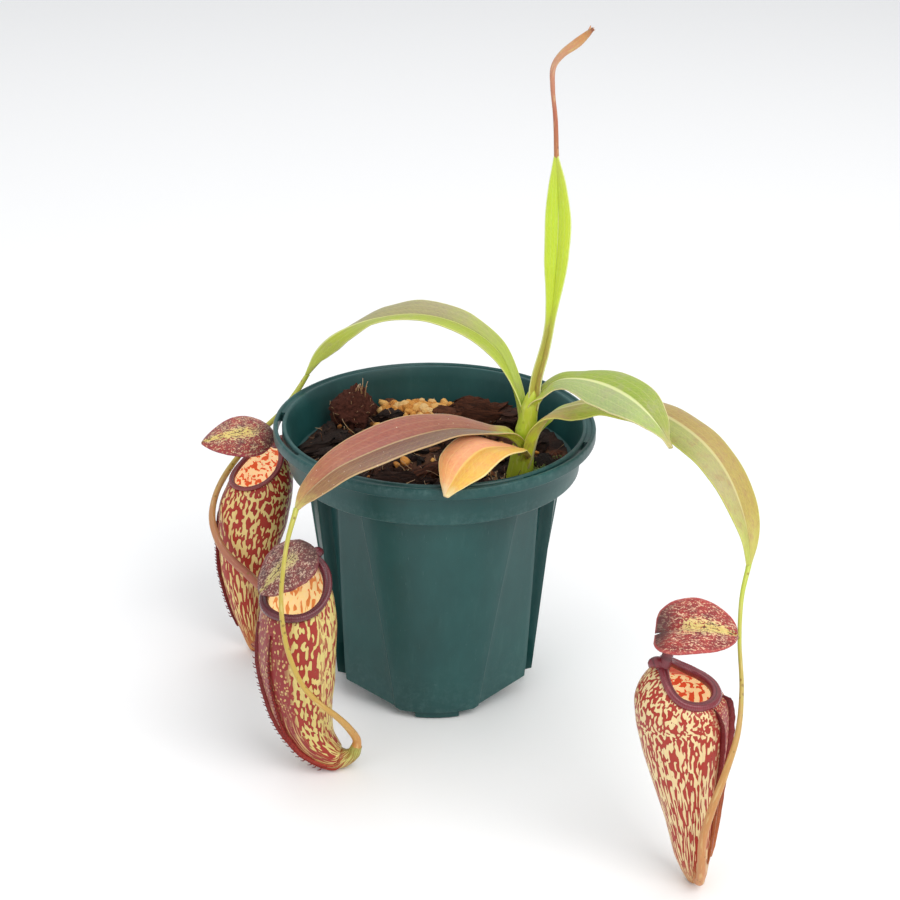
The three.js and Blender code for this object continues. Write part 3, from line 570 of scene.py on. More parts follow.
def throat_paint(name, cream, red, cover, grain, band):
    """The inside of a pitcher: pale wax with rounded blotches, painted shade far down and `band` below the
    lip.
    """
    # painted glow: Emission_Strength makes the throat shine faintly with its own colour
    p = Paint(name, Roughness=0.42, Subsurface_Weight=0.12, Subsurface_Scale=0.0012, Emission_Strength=0.3)
    place = p.flow()
    blot = p.noise(place, (grain[0], grain[0], grain[1]), 1, 0.5, 0.6)
    over = p.minus(blot, 0.5 + (0.5 - cover) * 0.3)
    tone = p.mix(p.times(p.noise(place, 0.4, 3), 0.6), red, "b8442a")
    colour = p.mix(p.step(over, -0.02, 0.04), p.mix(p.noise(place, 0.7, 3), cream, "f8f0d0"), tone)
    depth = p.tints()[0]
    # painted shade: the wall turns dark red-brown far down the cup, where little light gets in
    colour = p.mix(p.step(depth, 0.46, 0.3), colour, "5b2418")
    tone, width = band
    colour = p.lay(colour, p.step(depth, 1 - width - 0.02, 1 - width + 0.02), 0.9, tone)
    p.tree.links.new(colour, p.shader.inputs["Emission Color"])  # painted glow: the throat colour is emitted, standing in for daylight through the thin wall
    return p.finish(colour, p.noise(place, 1.8, 3), 0.2, 0.0002)


def lip_paint(name, dark, light):
    """The glossy collar of a mouth, with faint ribs, painted highlights and a groove of painted shade. The
    map's first axis goes round it.
    """
    p = Paint(name, Roughness=0.22, Specular_IOR_Level=0.6, Coat_Weight=0.2, Coat_Roughness=0.15)
    turn, over = p.parts(p.node("UVMap", uv_map="map"))[:2]
    ribs = p.math("SINE", p.times(turn, TAU * 110))
    wide = p.noise(p.node("CombineXYZ", {0: p.times(turn, 26.0), 1: over}), 1, 3, 0.6)
    # the lighter stripes along the ribs are partly the ribs' own colour and partly painted highlight
    colour = p.mix(p.line(ribs, 0.1, 0.16), dark, light)
    # painted highlight: patches of the lighter colour stand in for gloss on the collar
    colour = p.lay(colour, p.step(wide, 0.5, 0.75), 0.4, light)
    # painted shade: the shallow groove on top of the collar is darkened
    groove = p.step(p.size(p.minus(over, 0.55)), 0.07, 0.01)
    colour = p.lay(colour, groove, 0.45, "2c0c14")
    return p.finish(colour, ribs, 0.2, 0.00012)


def lid_paint(name, red, dusk, speck, streak, ink="4a1c26", rim="a33345"):
    """Mottled lid. flow is (along, across, fold) and tint is (u, side, under)."""
    p = Paint(name, Roughness=0.42, Specular_IOR_Level=0.5, Subsurface_Weight=0.08,
              Subsurface_Scale=0.0012, Sheen_Weight=0.06)
    u, side, under = p.tints()
    place = p.flow()
    cloud = p.noise(place, 0.3, 4, 0.6)
    colour = p.mix(p.step(cloud, 0.35, 0.62), red, dusk)
    reach = p.size(side)
    tips = p.noise(place, (2.2, 2.9, 1.4), 2, 0.6, 0.4)
    worms = p.noise(place, (1.2, 2.2, 1.0), 2, 0.5, 0.9)
    keel = p.times(p.step(reach, 0.42, 0.08), p.step(u, 0.12, 0.4))
    cut = p.minus(0.53, p.times(keel, 0.1))
    over = p.minus(p.line(worms, 0.5, p.times(tips, 0.5)), cut)
    colour = p.lay(colour, p.step(over, 0.0, 0.035), 0.9, p.mix(keel, speck, streak))
    dashes = p.noise(place, (0.55, 2.3, 1.0), 3, 0.6)
    inked = p.times(p.step(dashes, 0.55, 0.6), p.line(keel, 0.55, 0.4))
    colour = p.mix(inked, colour, ink)
    colour = p.lay(colour, p.step(u, 0.24, 0.0), 0.75, "4a2b2a")
    colour = p.lay(colour, p.step(reach, 0.86, 0.99), 0.65, rim)
    colour = p.lay(colour, under, 0.6, "7c2f30")
    height = p.plus(p.times(worms, 1.6), p.noise(place, 2.6, 3, 0.7))
    return p.finish(colour, height, 0.6, 0.00035)


def bark_paint():
    """Wood chips. flow lies along each chip's grain, and tint picks its colour."""
    p = Paint("bark", Roughness=0.85, Specular_IOR_Level=0.25)
    place = p.flow()
    pick, wet = p.tints()[:2]
    grain = p.noise(place, (0.18, 1.7, 1.7), 6, 0.75, 0.3)
    rough = p.noise(place, 1.1, 5, 0.7)
    base = p.ramp(pick, [
        (0.0, "1c130f"), (0.3, "33211a"), (0.55, "562f20"), (0.75, "7a4429"), (0.92, "8d5c38")])
    colour = p.mix(p.step(grain, 0.35, 0.62), p.mix(0.75, base, "120b08"), base)
    colour = p.lay(colour, p.step(grain, 0.6, 0.78), 0.55, "a8795a")
    colour = p.lay(colour, p.step(rough, 0.6, 0.78), 0.3, "8d7a5c")
    height = p.plus(p.times(grain, 2.0), rough)
    return p.finish(colour, height, 0.8, 0.0008, p.line(wet, -0.3, 0.85))


def crumb_paint(name, stops, scale=0.8, rough=0.9):
    """Earthy lumps coloured by tint and mottled."""
    p = Paint(name, Roughness=rough, Specular_IOR_Level=0.3)
    place = p.flow()
    pick = p.tints()[0]
    mottle = p.noise(place, scale, 6, 0.75)
    pits = p.cells(place, scale * 2.2)
    colour = p.ramp(p.plus(pick, p.line(mottle, 0.5, -0.25)), stops)
    colour = p.lay(colour, p.step(mottle, 0.45, 0.3), 0.5, "1c100b")
    height = p.plus(p.times(mottle, 2.0), p.times(pits, 0.7))
    return p.finish(colour, height, 0.7, 0.0006)


# ---------- pot ----------
def pick(pair, t):
    return lerp(pair[0], pair[1], t)


def wall_outline(t, inset=0.0):
    """Points of the wall's outline at height fraction t: panels, facets and grooves, finely divided."""
    half, end = pick(POT["half"], t), pick(POT["facet_end"], t)
    panel, facet, groove = (pick(POT[k], t) for k in ("panel", "facet", "groove"))
    end -= degrees(inset / groove)

    def level(lift):
        return lerp(POT["foot"] + lift, POT["shelf"], t)

    raised = level(POT["lift"])
    side = [(half, panel, level(0.6)), (half + 0.8, panel - 0.5, level(0.8)), (end, facet, raised),
            (end + 1, groove, raised), (60, groove, raised)]
    right = []
    for (a0, r0, z0), (a1, r1, z1), parts in zip(side, side[1:], (1, 9, 3, 3)):
        p0, p1 = polar(r0, radians(a0), z0), polar(r1, radians(a1), z1)
        right += [p0.lerp(p1, i / parts) for i in range(parts)]
    steps = 16
    arc = [polar(panel, radians(lerp(-half, half, i / steps)), level(0)) for i in range(1, steps)]
    left = [Vector((p.x, -p.y, p.z)) for p in right]
    sector = [polar(groove, radians(-60), raised)] + left[::-1] + arc + right
    points = []
    for k in range(3):
        turn = Matrix.Rotation(radians(POT["turn"] + 120 * k), 3, "Z")
        points += [turn @ p for p in sector]
    return points


ANGLES = [atan2(p.y, p.x) for p in wall_outline(1)]


def wall_ring(t, inset=0.0, rise=0.0):
    out = []
    for p in wall_outline(t, inset):
        flat = Vector((p.x, p.y, 0))
        out.append(p - flat.normalized() * inset + UP * rise)
    return out


def round_ring(radius, z, angles=None):
    return [polar(radius, a, z) for a in (angles or ANGLES)]


def arc_block(inner, outer, start, end, low, high, steps=40):
    """A curved block, for cutting slots."""
    work = bmesh.new()
    rows = []
    for i in range(steps + 1):
        a = radians(lerp(start, end, i / steps))
        x, y = cos(a), sin(a)
        rows.append([work.verts.new((r * x * MM, r * y * MM, z * MM))
                     for r, z in ((inner, low), (outer, low), (outer, high), (inner, high))])
    for a, b in zip(rows, rows[1:]):
        for j in range(4):
            k = (j + 1) % 4
            work.faces.new((a[j], a[k], b[k], b[j]))
    work.faces.new(rows[0][::-1])
    work.faces.new(rows[-1])
    bmesh.ops.recalc_face_normals(work, faces=work.faces)
    return work


def cut(piece, tool):
    """Takes the tool's mesh away from the piece for good."""
    mesh = bpy.data.meshes.new("tool")
    tool.to_mesh(mesh)
    tool.free()
    other = bpy.data.objects.new("tool", mesh)
    bpy.context.scene.collection.objects.link(other)
    modifier = piece.modifiers.new("cut", "BOOLEAN")
    modifier.operation, modifier.solver, modifier.object = "DIFFERENCE", "EXACT", other
    apply_modifiers(piece)
    bpy.data.objects.remove(other)


def apply_modifiers(piece):
    graph = bpy.context.evaluated_depsgraph_get()
    seen = piece.evaluated_get(graph)
    mesh = bpy.data.meshes.new_from_object(seen, preserve_all_data_layers=True, depsgraph=graph)
    piece.modifiers.clear()
    piece.data = mesh


def make_pot(material):
    shelf, lip, top, wall, rim, foot = (POT[k] for k in ("shelf", "lip", "height", "wall", "rim", "foot"))
    low, high = POT["collar_low"], POT["collar_top"]
    slot_in, slot_out = POT["slot"]
    foot_angles = [atan2(p.y, p.x) for p in wall_outline(0)]
    outside = [round_ring(r, z, foot_angles) for r, z in ((7, 0), (7, foot), (POT["floor"], foot))]
    outside += [wall_ring(t) for t in (0, 0.004, 0.25, 0.5, 0.75, 0.99, 1)]
    profile = [
        (low - 0.25, shelf), (low, shelf + 0.3), (lerp(low, high, 0.5), (shelf + lip) / 2),
        (high, lip - 0.05), (high + 0.3, lip), (rim - 0.35, lip), (rim, lip + 0.3), (rim, top - 0.75),
        (rim - 0.15, top - 0.25), (rim - 0.5, top), (slot_out + 0.25, top), (slot_out, top - 0.5),
        (slot_in, top - 0.5), (slot_in - 0.25, top - 0.05), (41.9, top), (41.6, top - 0.2),
        (POT["inner"] - 0.1, top - 0.6), (high - wall, lip), (low - wall, shelf + wall)]
    outside += [round_ring(r, z) for r, z in profile]
    inside = [wall_ring(t, wall, wall if t == 0 else 0) for t in (1, 0.75, 0.5, 0.25, 0)]
    inside.append(round_ring(POT["floor"] - 1, foot + wall, foot_angles))
    rings = outside + inside
    # how worn the plastic is, by number of ring: the foot, the shelf and the rim's edges
    worn = {3: 0.9, 4: 0.5, 10: 0.7, 11: 0.7, 17: 0.9, 18: 1.0, 19: 0.6, 20: 0.5, 23: 0.7, 24: 0.5}
    skin = Skin()
    skin.rings([[(p, tuple(p), (worn.get(i, 0.0), 0, 0)) for p in ring] for i, ring in enumerate(rings)])
    pot = skin.done("pot_body", [material], "pot", "pot_plastic")
    bevel = pot.modifiers.new("edges", "BEVEL")
    bevel.width, bevel.segments, bevel.limit_method, bevel.angle_limit = 0.00035, 2, "ANGLE", radians(26)
    apply_modifiers(pot)
    for middle in POT["slots"]:
        ends = (middle - POT["slot_half"], middle + POT["slot_half"])
        cut(pot, arc_block(slot_in, slot_out, *ends, lip - 1, top + 1))
    for angle in POT["slits"]:
        slit = bmesh.new()
        bmesh.ops.create_cube(slit, size=1)
        bmesh.ops.scale(slit, vec=(0.030, 0.005, 0.0175), verts=slit.verts)
        bmesh.ops.translate(slit, vec=(0.030, 0, 0.00775), verts=slit.verts)
        turn = Matrix.Rotation(radians(POT["turn"] + angle), 3, "Z")
        bmesh.ops.rotate(slit, matrix=turn, verts=slit.verts)
        cut(pot, slit)
    pot.data.set_sharp_from_angle(angle=radians(32))
    for k in range(3):
        middle = POT["turn"] + 120 * k
        ends = (middle - POT["pad_half"], middle + POT["pad_half"])
        work = arc_block(*POT["pad"], *ends, 0, foot + 0.4, 16)
        for v in work.verts:
            v.co /= MM
        pad = Skin()
        pad.solid(work, lambda p: tuple(p))
        work.free()
        piece = pad.done("pot_pad_%d" % k, [material], "pot", "pot_plastic", sharp=30)
        edges = piece.modifiers.new("edges", "BEVEL")
        edges.width, edges.segments = 0.0003, 2


# ---------- potting mix ----------
def level_at(x, y):
    """Height of the mix below its chips."""
    waves = sin(x * 0.42 + 1) * cos(y * 0.37) + 0.6 * sin(x * 0.9 - y * 0.7)
    fine = noise.fractal(Vector((x, y, 3)) * 0.35, 0.7, 2.1, 5)
    return MIX_LEVEL + 0.5 * waves + 1.0 * fine - 0.4


def off_stem(x, y):
    return hypot(x - STEM_FOOT[0], y - STEM_FOOT[1])


def make_mix(material):
    columns, rows = 150, 34
    rings = []
    for i in range(rows):
        r = MIX_REACH * (0.02 + 0.98 * i / (rows - 1))
        ring = []
        for j in range(columns):
            a = TAU * j / columns
            x, y = r * cos(a), r * sin(a)
            ring.append(Vector((x, y, level_at(x, y))))
        rings.append(ring)
    for t, radius in ((1, 37.6), (1, 30.2), (0.5, 28), (0, 26)):
        z = lerp(6, POT["shelf"] + (2.0 if radius > 35 else -0.5), t)
        rings.append([polar(radius, TAU * j / columns, z) for j in range(columns)])
    skin = Skin()
    skin.rings([[(p, tuple(p), (0.5 + 0.9 * noise.noise(p * 0.12), 0, 0)) for p in ring] for ring in rings])
    skin.done("mix_bed", [material], "potting_mix", "bark_mix")


def chip(rng, centre, size, heading, slope, tint, skin, cuts):
    """A torn splinter of bark, with ridges along its length."""
    work = bmesh.new()
    bmesh.ops.create_cube(work, size=1)
    bmesh.ops.subdivide_edges(work, edges=work.edges, cuts=cuts, use_grid_fill=True)
    seed = spot_in(rng, 0, 90)
    taper = [rng.uniform(0.35, 1) for _ in range(4)]
    long, wide, high = size
    local = []
    for v in work.verts:
        x, y, z = v.co
        end = abs(2 * x)
        round_off = 1 - 0.28 * max(0, abs(2 * y) + abs(2 * z) - 1.1)
        narrow = lerp(1, taper[0 if x > 0 else 1], end ** 2)
        thin = lerp(1, taper[2 if x > 0 else 3], end ** 2)
        p = Vector((x * long, y * wide * narrow * round_off, z * high * thin * round_off))
        ridge = noise.fractal(Vector((p.x * 0.12, p.y * 0.9, p.z * 0.9)) + seed, 0.6, 2.2, 4)
        torn = 1 if end > 0.9 else 0.15
        p += Vector((0.35 * ridge * long * torn, ridge * 0.3 * wide, ridge * 0.34 * high))
        local.append(p)
    turn = Matrix.Rotation(heading, 3, "Z") @ Matrix.Rotation(slope, 3, "Y")
    turn = turn @ Matrix.Rotation(rng.uniform(-0.7, 0.7), 3, "X")
    flows = {}
    for v, p in zip(work.verts, local):
        v.co = turn @ p + Vector(centre)
        flows[tuple(v.co)] = tuple(p + seed)
    skin.solid(work, lambda co: flows[tuple(co)], tint)
    work.free()


# large pieces: (x, y, z, length, width, height, heading, colour)
LARGE_BARK = [
    (-31, 2, 71.2, 13, 6.5, 5, 20, 0.2), (-25, -6, 71, 13, 6, 5, -12, 0.3), (-31, 9, 71.5, 9, 5, 4, 70, 0.25),
    (-9, -22, 70.6, 14, 6, 5, -15, 0.35), (5, -26, 70.4, 13, 5.5, 5, 8, 0.15),
    (-1, -15, 70.8, 12, 5, 5, 25, 0.6), (-14, -12, 70.8, 11, 5, 4.5, 60, 0.5),
    (13, 24, 73, 15, 6.5, 6, -28, 0.62), (21, 19, 72.6, 13, 6, 6, -42, 0.45),
    (9, 28, 71.5, 8, 5, 4.5, 10, 0.7), (29, 5, 71.6, 9, 6, 5, 60, 0.3), (-14, 8, 71, 10, 6, 5, 35, 0.35),
    (-13, 21, 71.6, 7, 5, 5, -30, 0.3), (3, 22, 72, 7, 5, 4.5, -35, 0.68), (13, -6, 70.8, 10, 5, 4, 80, 0.5),
    (4, 6, 70.8, 11, 6, 5, -50, 0.4), (20, 4, 71, 9, 5, 4.5, 15, 0.6), (-20, -20, 70.5, 9, 5, 4, -45, 0.25),
    (16, -24, 70.3, 8, 4.5, 4, 40, 0.4), (31, -8, 70.4, 7, 4.5, 3.6, -70, 0.1),
]


def make_bark(material):
    rng = random.Random(4)
    skin = Skin()
    for x, y, z, length, width, height, heading, tone in LARGE_BARK:
        chip(rng, (x, y, z), (length, width, height), radians(heading), rng.uniform(-0.25, 0.25),
             (tone, rng.random() * 0.5, 0), skin, 6)
    for _ in range(COUNTS["chips"]):
        x, y, r = scatter(rng, 36)
        size = (rng.uniform(2, 6.5), rng.uniform(1.2, 3), rng.uniform(0.8, 2.2))
        z = level_at(x, y) + rng.uniform(-0.3, 1.1)
        if off_stem(x, y) < 5.5 or r + size[0] / 2 > MIX_REACH + 0.5:
            continue
        chip(rng, (x, y, z), size, rng.uniform(0, TAU), rng.uniform(-0.5, 0.5),
             (rng.random() ** 1.3, rng.random() * 0.6, 0), skin, 2)
    skin.done("bark_chips", [material], "potting_mix", "bark_mix", sharp=50)


def thread(rng, skin, start, aim, length, radius, kind=0):
    """A thin bent fibre."""
    rows, place = [], Vector(start)
    way = Vector(aim).normalized()
    for i in range(6):
        rows.append([*place, radius * (1 - 0.12 * i)])
        way = (way + spot_in(rng, -1, 1) * 0.28).normalized()
        place = place + way * length / 5
    tube(skin, rows, sides=4, steps=8, kind=kind, offset=rng.uniform(0, 50))


def make_fibres(materials):
    rng = random.Random(9)
    skin = Skin()
    for _ in range(COUNTS["fibres"]):
        x, y, _ = scatter(rng, 35)
        aim = (rng.uniform(-1, 1), rng.uniform(-1, 1), rng.uniform(0, 0.5))
        start = (x, y, level_at(x, y) + 0.8)
        thread(rng, skin, start, aim, rng.uniform(3, 8), rng.uniform(0.1, 0.22), rng.randrange(2))
    for _ in range(COUNTS["bundle"]):  # a pale bundle beside the small leaf
        x, y = 17 + rng.uniform(-1.6, 1.6), -20 + rng.uniform(-2, 2)
        thread(rng, skin, (x, y, 70), (rng.uniform(-0.4, 0.4), -0.2, 1), rng.uniform(2.5, 4.5), 0.2)
    skin.done("mix_fibres", materials, "potting_mix", "bark_mix")
    moss = Skin()
    for _ in range(COUNTS["moss"]):
        x, y = 32 + rng.gauss(0, 2.4), -10 + rng.gauss(0, 3.6)
        if hypot(x, y) > 37.2:
            continue
        z = level_at(x, y) + rng.uniform(-0.2, 0.8)
        aim = (rng.uniform(-1, 1), rng.uniform(-1, 1), rng.uniform(0.4, 1.4))
        rows = [[x, y, z, 0.3]]
        way = Vector(aim).normalized() * rng.uniform(0.7, 1.5)
        rows.append([x + way.x * 0.5, y + way.y * 0.5, z + way.z * 0.6, 0.24])
        rows.append([x + way.x, y + way.y, z + way.z * 0.9, 0.04])
        tube(moss, rows, sides=4, steps=3, offset=rng.uniform(0, 60))
    moss.done("moss", [materials[2]], "potting_mix", "green_tissue")


def grain(rng, skin, centre, size, tint):
    work = bmesh.new()
    bmesh.ops.create_icosphere(work, subdivisions=2, radius=0.5)
    seed = spot_in(rng, 0, 90)
    stretch = Vector((rng.uniform(0.8, 1.15), rng.uniform(0.75, 1), rng.uniform(0.65, 0.95)))
    turn = Matrix.Rotation(rng.uniform(0, TAU), 3, "Z") @ Matrix.Rotation(rng.uniform(-1, 1), 3, "X")
    for v in work.verts:
        swell = 1 + 0.5 * noise.noise(v.co * 1.6 + seed) + 0.2 * noise.noise(v.co * 4 + seed)
        p = Vector((v.co.x * stretch.x, v.co.y * stretch.y, v.co.z * stretch.z)) * swell * size
        v.co = turn @ p + Vector(centre)
    skin.solid(work, lambda co: tuple(co + seed), tint)
    work.free()


def make_granules(material):
    rng = random.Random(21)
    heap = Skin()
    for _ in range(COUNTS["heap"]):
        x, y = rng.gauss(HEAP[0], 5.2), rng.gauss(HEAP[1], 2.6)
        reach = 1 - ((x - HEAP[0]) / 10.5) ** 2 - ((y - HEAP[1]) / 6.0) ** 2
        if reach <= 0:
            continue
        z = 70.4 + 3.2 * sqrt(reach) * rng.uniform(0.75, 1)
        grain(rng, heap, (x, y, z), rng.uniform(2.3, 3.5), (rng.uniform(0.3, 1), 0, 0))
    for x, y, z, size, tone in (
            (-15, 29.5, 72.6, 3.2, 0.8), (-12.5, 30.5, 72.4, 2.6, 0.55), (2.6, 30, 72.8, 3.2, 0.8),
            (5, 29.5, 72.2, 2.6, 0.6), (-1, 31, 72.4, 3.0, 0.9), (-14.5, 23.5, 72, 3.4, 0.15)):
        grain(rng, heap, (x, y, z), size, (tone, 0, 0))
    heap.done("granules_heap", [material], "granule_heap", "granules")
    loose = Skin()
    spots = [
        (-8.2, -9, 71.6, 3.3, 0.45), (-10.5, -11, 71.2, 2.4, 0.4), (-16.5, 14.5, 71.8, 2.6, 0.8),
        (-18, 11, 71.6, 2.4, 0.7), (2, 7, 72.4, 2.6, 0.5), (15, 10, 72, 2.6, 0.8), (18.5, 2, 72, 2.8, 0.6)]
    for _ in range(COUNTS["loose"]):
        x, y, _ = scatter(rng, 34)
        if off_stem(x, y) > 5:
            spots.append((x, y, level_at(x, y) + 0.9, rng.uniform(1.2, 2.4), rng.random()))
    for x, y, z, size, tone in spots:
        grain(rng, loose, (x, y, z), size, (tone, 0, 0))
    loose.done("granules_loose", [material], "potting_mix", "granules")


def make_chunk(material, fibre):
    rng = random.Random(3)
    work = bmesh.new()
    bmesh.ops.create_icosphere(work, subdivisions=5, radius=0.5)
    for v in work.verts:
        n = v.co.normalized()
        big = noise.fractal(n * 1.3 + Vector((4, 1, 7)), 0.8, 2.0, 3)
        fine = noise.turbulence(n * 5, 5, True)
        v.co = n * 0.5 * (0.97 + 0.2 * big - 0.2 * fine + 0.07 * noise.noise(n * 15))
        rise = max(0, n.z)
        v.co = Vector((v.co.x * 14 * (1 - 0.35 * rise) + 1.8 * rise, v.co.y * 10, v.co.z * 15))
        v.co += CHUNK
    skin = Skin()
    skin.solid(work, lambda co: tuple(co), (0.4, 0, 0))
    work.free()
    skin.done("fern_chunk", [material], "fern_root_chunk", "fern_root")
    tufts = Skin()
    for _ in range(COUNTS["tufts"]):
        a, lift = rng.uniform(0, TAU), rng.uniform(-0.2, 0.95)
        spread = sqrt(1 - lift * lift)
        n = Vector((spread * cos(a) * 6, spread * sin(a) * 4.2, lift * 6.4))
        thread(rng, tufts, CHUNK + n, n.normalized() + UP * 0.6, rng.uniform(0.8, 1.8), 0.1)
    for _ in range(COUNTS["standing"]):  # the standing tuft at the top right
        start = Vector((-21.5 + rng.uniform(-1.5, 1.5), 18 + rng.uniform(-1, 1), 79.5))
        thread(rng, tufts, start, (rng.uniform(-0.35, 0.25), 0, 1), rng.uniform(3.5, 5.5), 0.2)
    tufts.done("fern_tufts", [fibre], "fern_root_chunk", "fern_root")


# ---------- plant ----------
def stem_at(z):
    """The middle of the stem at height z."""
    for a, b in zip(STEM, STEM[1:]):
        if z <= b[2]:
            break
    t = min(1, max(0, (z - a[2]) / (b[2] - a[2])))
    return Vector(a[:3]).lerp(Vector(b[:3]), t)


def rooted(rows):
    """The rows with a clasping base on the stem before them."""
    half = rows[0][3]
    base = stem_at(rows[0][2] - 3 * half)
    out = Vector((rows[0][0], rows[0][1], 0)) - Vector((base.x, base.y, 0))
    base += out.normalized() * 1.4
    return [[base.x, base.y, base.z, half * 1.1, 62, 62]] + rows


def make_blade(name, heading, rows, material, slot):
    """A leaf blade with a keeled midrib and thin margins. flow is (run, side -1..1, half width)."""
    wave, stations = 0.1, 120
    left0 = UP.cross(polar(1, radians(heading)))
    spread = [1, 0.97, 0.88, 0.74, 0.58, 0.42, 0.27, 0.14, 0.06]
    columns = [(1, f) for f in spread] + [(0, 0.0)] + [(-1, f) for f in reversed(spread)]
    rings = []
    for u, point, along, more, run in walk(rooted(rows), stations):
        left = (left0 - along * left0.dot(along)).normalized()
        normal = along.cross(left)
        half = max(more.x, 0.45)
        upper, lower = [], []
        for side, f in columns:
            tilt = radians(more.y if side >= 0 else more.z)
            out = left * side * cos(tilt) + normal * sin(tilt)
            face = normal * cos(tilt) - left * side * sin(tilt) if side else normal
            ripple = wave * f * f * sin(run * 0.42 + 1.7 * side + heading) * min(1, half / 4)
            place = point + out * f * half + face * (0.35 * half * f * (1 - f) + ripple)
            thick = lerp(0.32, 0.13, f ** 3)
            keel = 0.55 * min(1, half / 3) * exp(-((f * half / 0.8) ** 2))
            rib = 0.16 * exp(-((f * half / 0.45) ** 2))
            upper.append((place + face * (thick + rib), (run, side * f, half), (u, 0, 0)))
            lower.append((place - face * (thick + keel), (run, side * f, half), (u, 1, 0)))
        rings.append(upper + lower[::-1])
    skin = Skin()
    skin.rings(rings)
    skin.done(name + "_blade", [material], name, slot)


def on_pitcher(shape):
    at = reader(shape["rows"])
    front = polar(1, radians(shape["facing"]))

    def spot(u, angle, grow=0.0, rise=0.0):
        point, along, more = at(min(u, 1))
        forward = (front - along * front.dot(along)).normalized()
        side = along.cross(forward)
        radius = more.x + grow
        point = point + forward * radius * cos(angle) + side * 0.94 * radius * sin(angle) + along * rise
        point.z = max(point.z, 0)
        return point

    return spot


def make_pitcher(name, shape, skin_paint, throat, lip, wing):
    spot = on_pitcher(shape)
    node = "pitcher_" + name
    around = 96
    turns = [TAU * j / around for j in range(around)]
    skew = radians(shape["skew"])

    def brim(a):
        return lerp(shape["low"], 1, ((1 - cos(a - skew)) / 2) ** shape["neck"])

    def tuck(k):
        return shape["tuck"] * max(0, (k - SHOULDER) / (1 - SHOULDER)) ** 2

    def wrapped(a):
        return (a + pi) % TAU - pi

    length = sum((Vector(a[:3]) - Vector(b[:3])).length for a, b in zip(shape["rows"], shape["rows"][1:]))
    rings, kinds = [], []
    # heights of the rings outside, then inside down to the floor of the cup
    outer = [i / 80 for i in range(80)]
    inner = [lerp(0.985, 0.3, i / 36) for i in range(37)]
    for levels, grow, kind in ((outer, 0.0, 0), (inner, -CUP_WALL, 1)):
        for k in levels:
            ring = []
            for a in turns:
                u = k * brim(a) * (1 if kind else 0.995)
                crease = -0.25 * exp(-((abs(wrapped(a)) / 0.16) ** 2)) if not kind else 0
                bulge = 0.12 * noise.noise(Vector((cos(a), sin(a), u * 5)) * 2.2)
                s = u * length
                flow = tuple(polar(SKIN_RADIUS, a, 0.45 * s + 0.55 * s * s / length))
                band = smooth(shape["zone"], shape["zone"] - 0.28, abs(wrapped(a))) * smooth(0.16, 0.4, k)
                place = spot(u, a, grow + crease + bulge - tuck(k))
                ring.append((place, flow, (k if kind else u, wrapped(a), band)))
            rings.append(ring)
            kinds.append(kind)
    skin = Skin()
    skin.rings(rings, kinds=kinds)
    skin.done(node + "_cup", [skin_paint, throat], node, shape["slot"])

    # the rolled collar of the mouth: [outwards, upwards] from the brim, with a shallow groove on top
    section = [(-0.2, -1.0), (0.5, -1.1), (0.95, -0.8), (1.2, -0.3), (1.2, 0.25), (0.95, 0.7), (0.6, 0.95),
               (0.3, 0.9), (0.05, 0.76), (-0.25, 0.84), (-0.7, 0.92), (-1.1, 0.7), (-1.4, 0.25),
               (-1.5, -0.35), (-1.3, -0.9), (-0.8, -1.05)]
    rings = []
    fine = [TAU * j / 240 for j in range(240)]
    for out, rise in section:
        ring = []
        for a in fine:
            size = shape["lip"] * (1 + 0.08 * noise.noise(Vector((cos(a) * 2, sin(a) * 2, 4))))
            rib = 0.025 * sin(60 * a)
            bump = 0.03 * noise.noise(Vector((cos(a) * 5, sin(a) * 5, out)))
            place = spot(brim(a), a, out * size + rib - shape["tuck"], rise * size + bump)
            ring.append((place, tuple(polar(SKIN_RADIUS, a, out)), (0, 0, 0)))
        rings.append(ring)
    rings.append(rings[0])
    collar = Skin()
    collar.rings(rings, caps=False)
    piece = collar.done(node + "_lip", [lip], node, shape["slot"])
    weld(piece)

    # two narrow wings, with a fringe of small hooks on some
    rng = random.Random(len(name))
    wings = Skin()
    for sign in (-1, 1):
        rings = []
        steps, a, lean = 80, sign * WING_TURN, sign * 0.05

        def on_wing(f):
            """How far up the wing is at fraction f, and how far its root is drawn in."""
            k = lerp(0.2, shape["top"], f)
            return k * brim(a), -tuck(k)

        for i in range(steps + 1):
            f = i / steps
            u, drawn = on_wing(f)
            rise = lerp(*shape["wing"], f) * sin(pi * (i + 1) / (steps + 2)) ** 0.35
            rise *= 1 + 0.15 * noise.noise(Vector((i * 0.35, sign, 0)))
            rings.append([
                (spot(u, a + turn, drawn + up), (h, w, u * length), (f, 0, 0)) for turn, up, h, w in (
                    (-0.024, -0.4, 0, 0), (0.024, -0.4, 0, 1),
                    (0.012 + lean, rise, rise, 1), (-0.012 + lean, rise, rise, 0))])
        wings.rings(rings)
        for i in range(HOOKS if shape["hook"] else 0):
            f = lerp(0.08, 0.9, (i + rng.random() * 0.5) / HOOKS)
            u, drawn = on_wing(f)
            edge = a + lean
            rise = drawn + lerp(*shape["wing"], f) * 0.8
            tip = spot(u + 0.006, edge, rise + 0.35 + shape["hook"] * rng.uniform(0.5, 1))
            foot, mid = spot(u, edge, rise - 0.3), spot(u, edge, rise + 0.3)
            tube(wings, [[*foot, 0.2], [*mid, 0.16], [*tip, 0.05]], sides=5, steps=4)
    wings.done(node + "_wings", [wing], node, shape["slot"])


def weld(piece):
    work = bmesh.new()
    work.from_mesh(piece.data)
    bmesh.ops.remove_doubles(work, verts=work.verts, dist=1e-7)
    bmesh.ops.recalc_face_normals(work, faces=work.faces)
    work.to_mesh(piece.data)
    work.free()


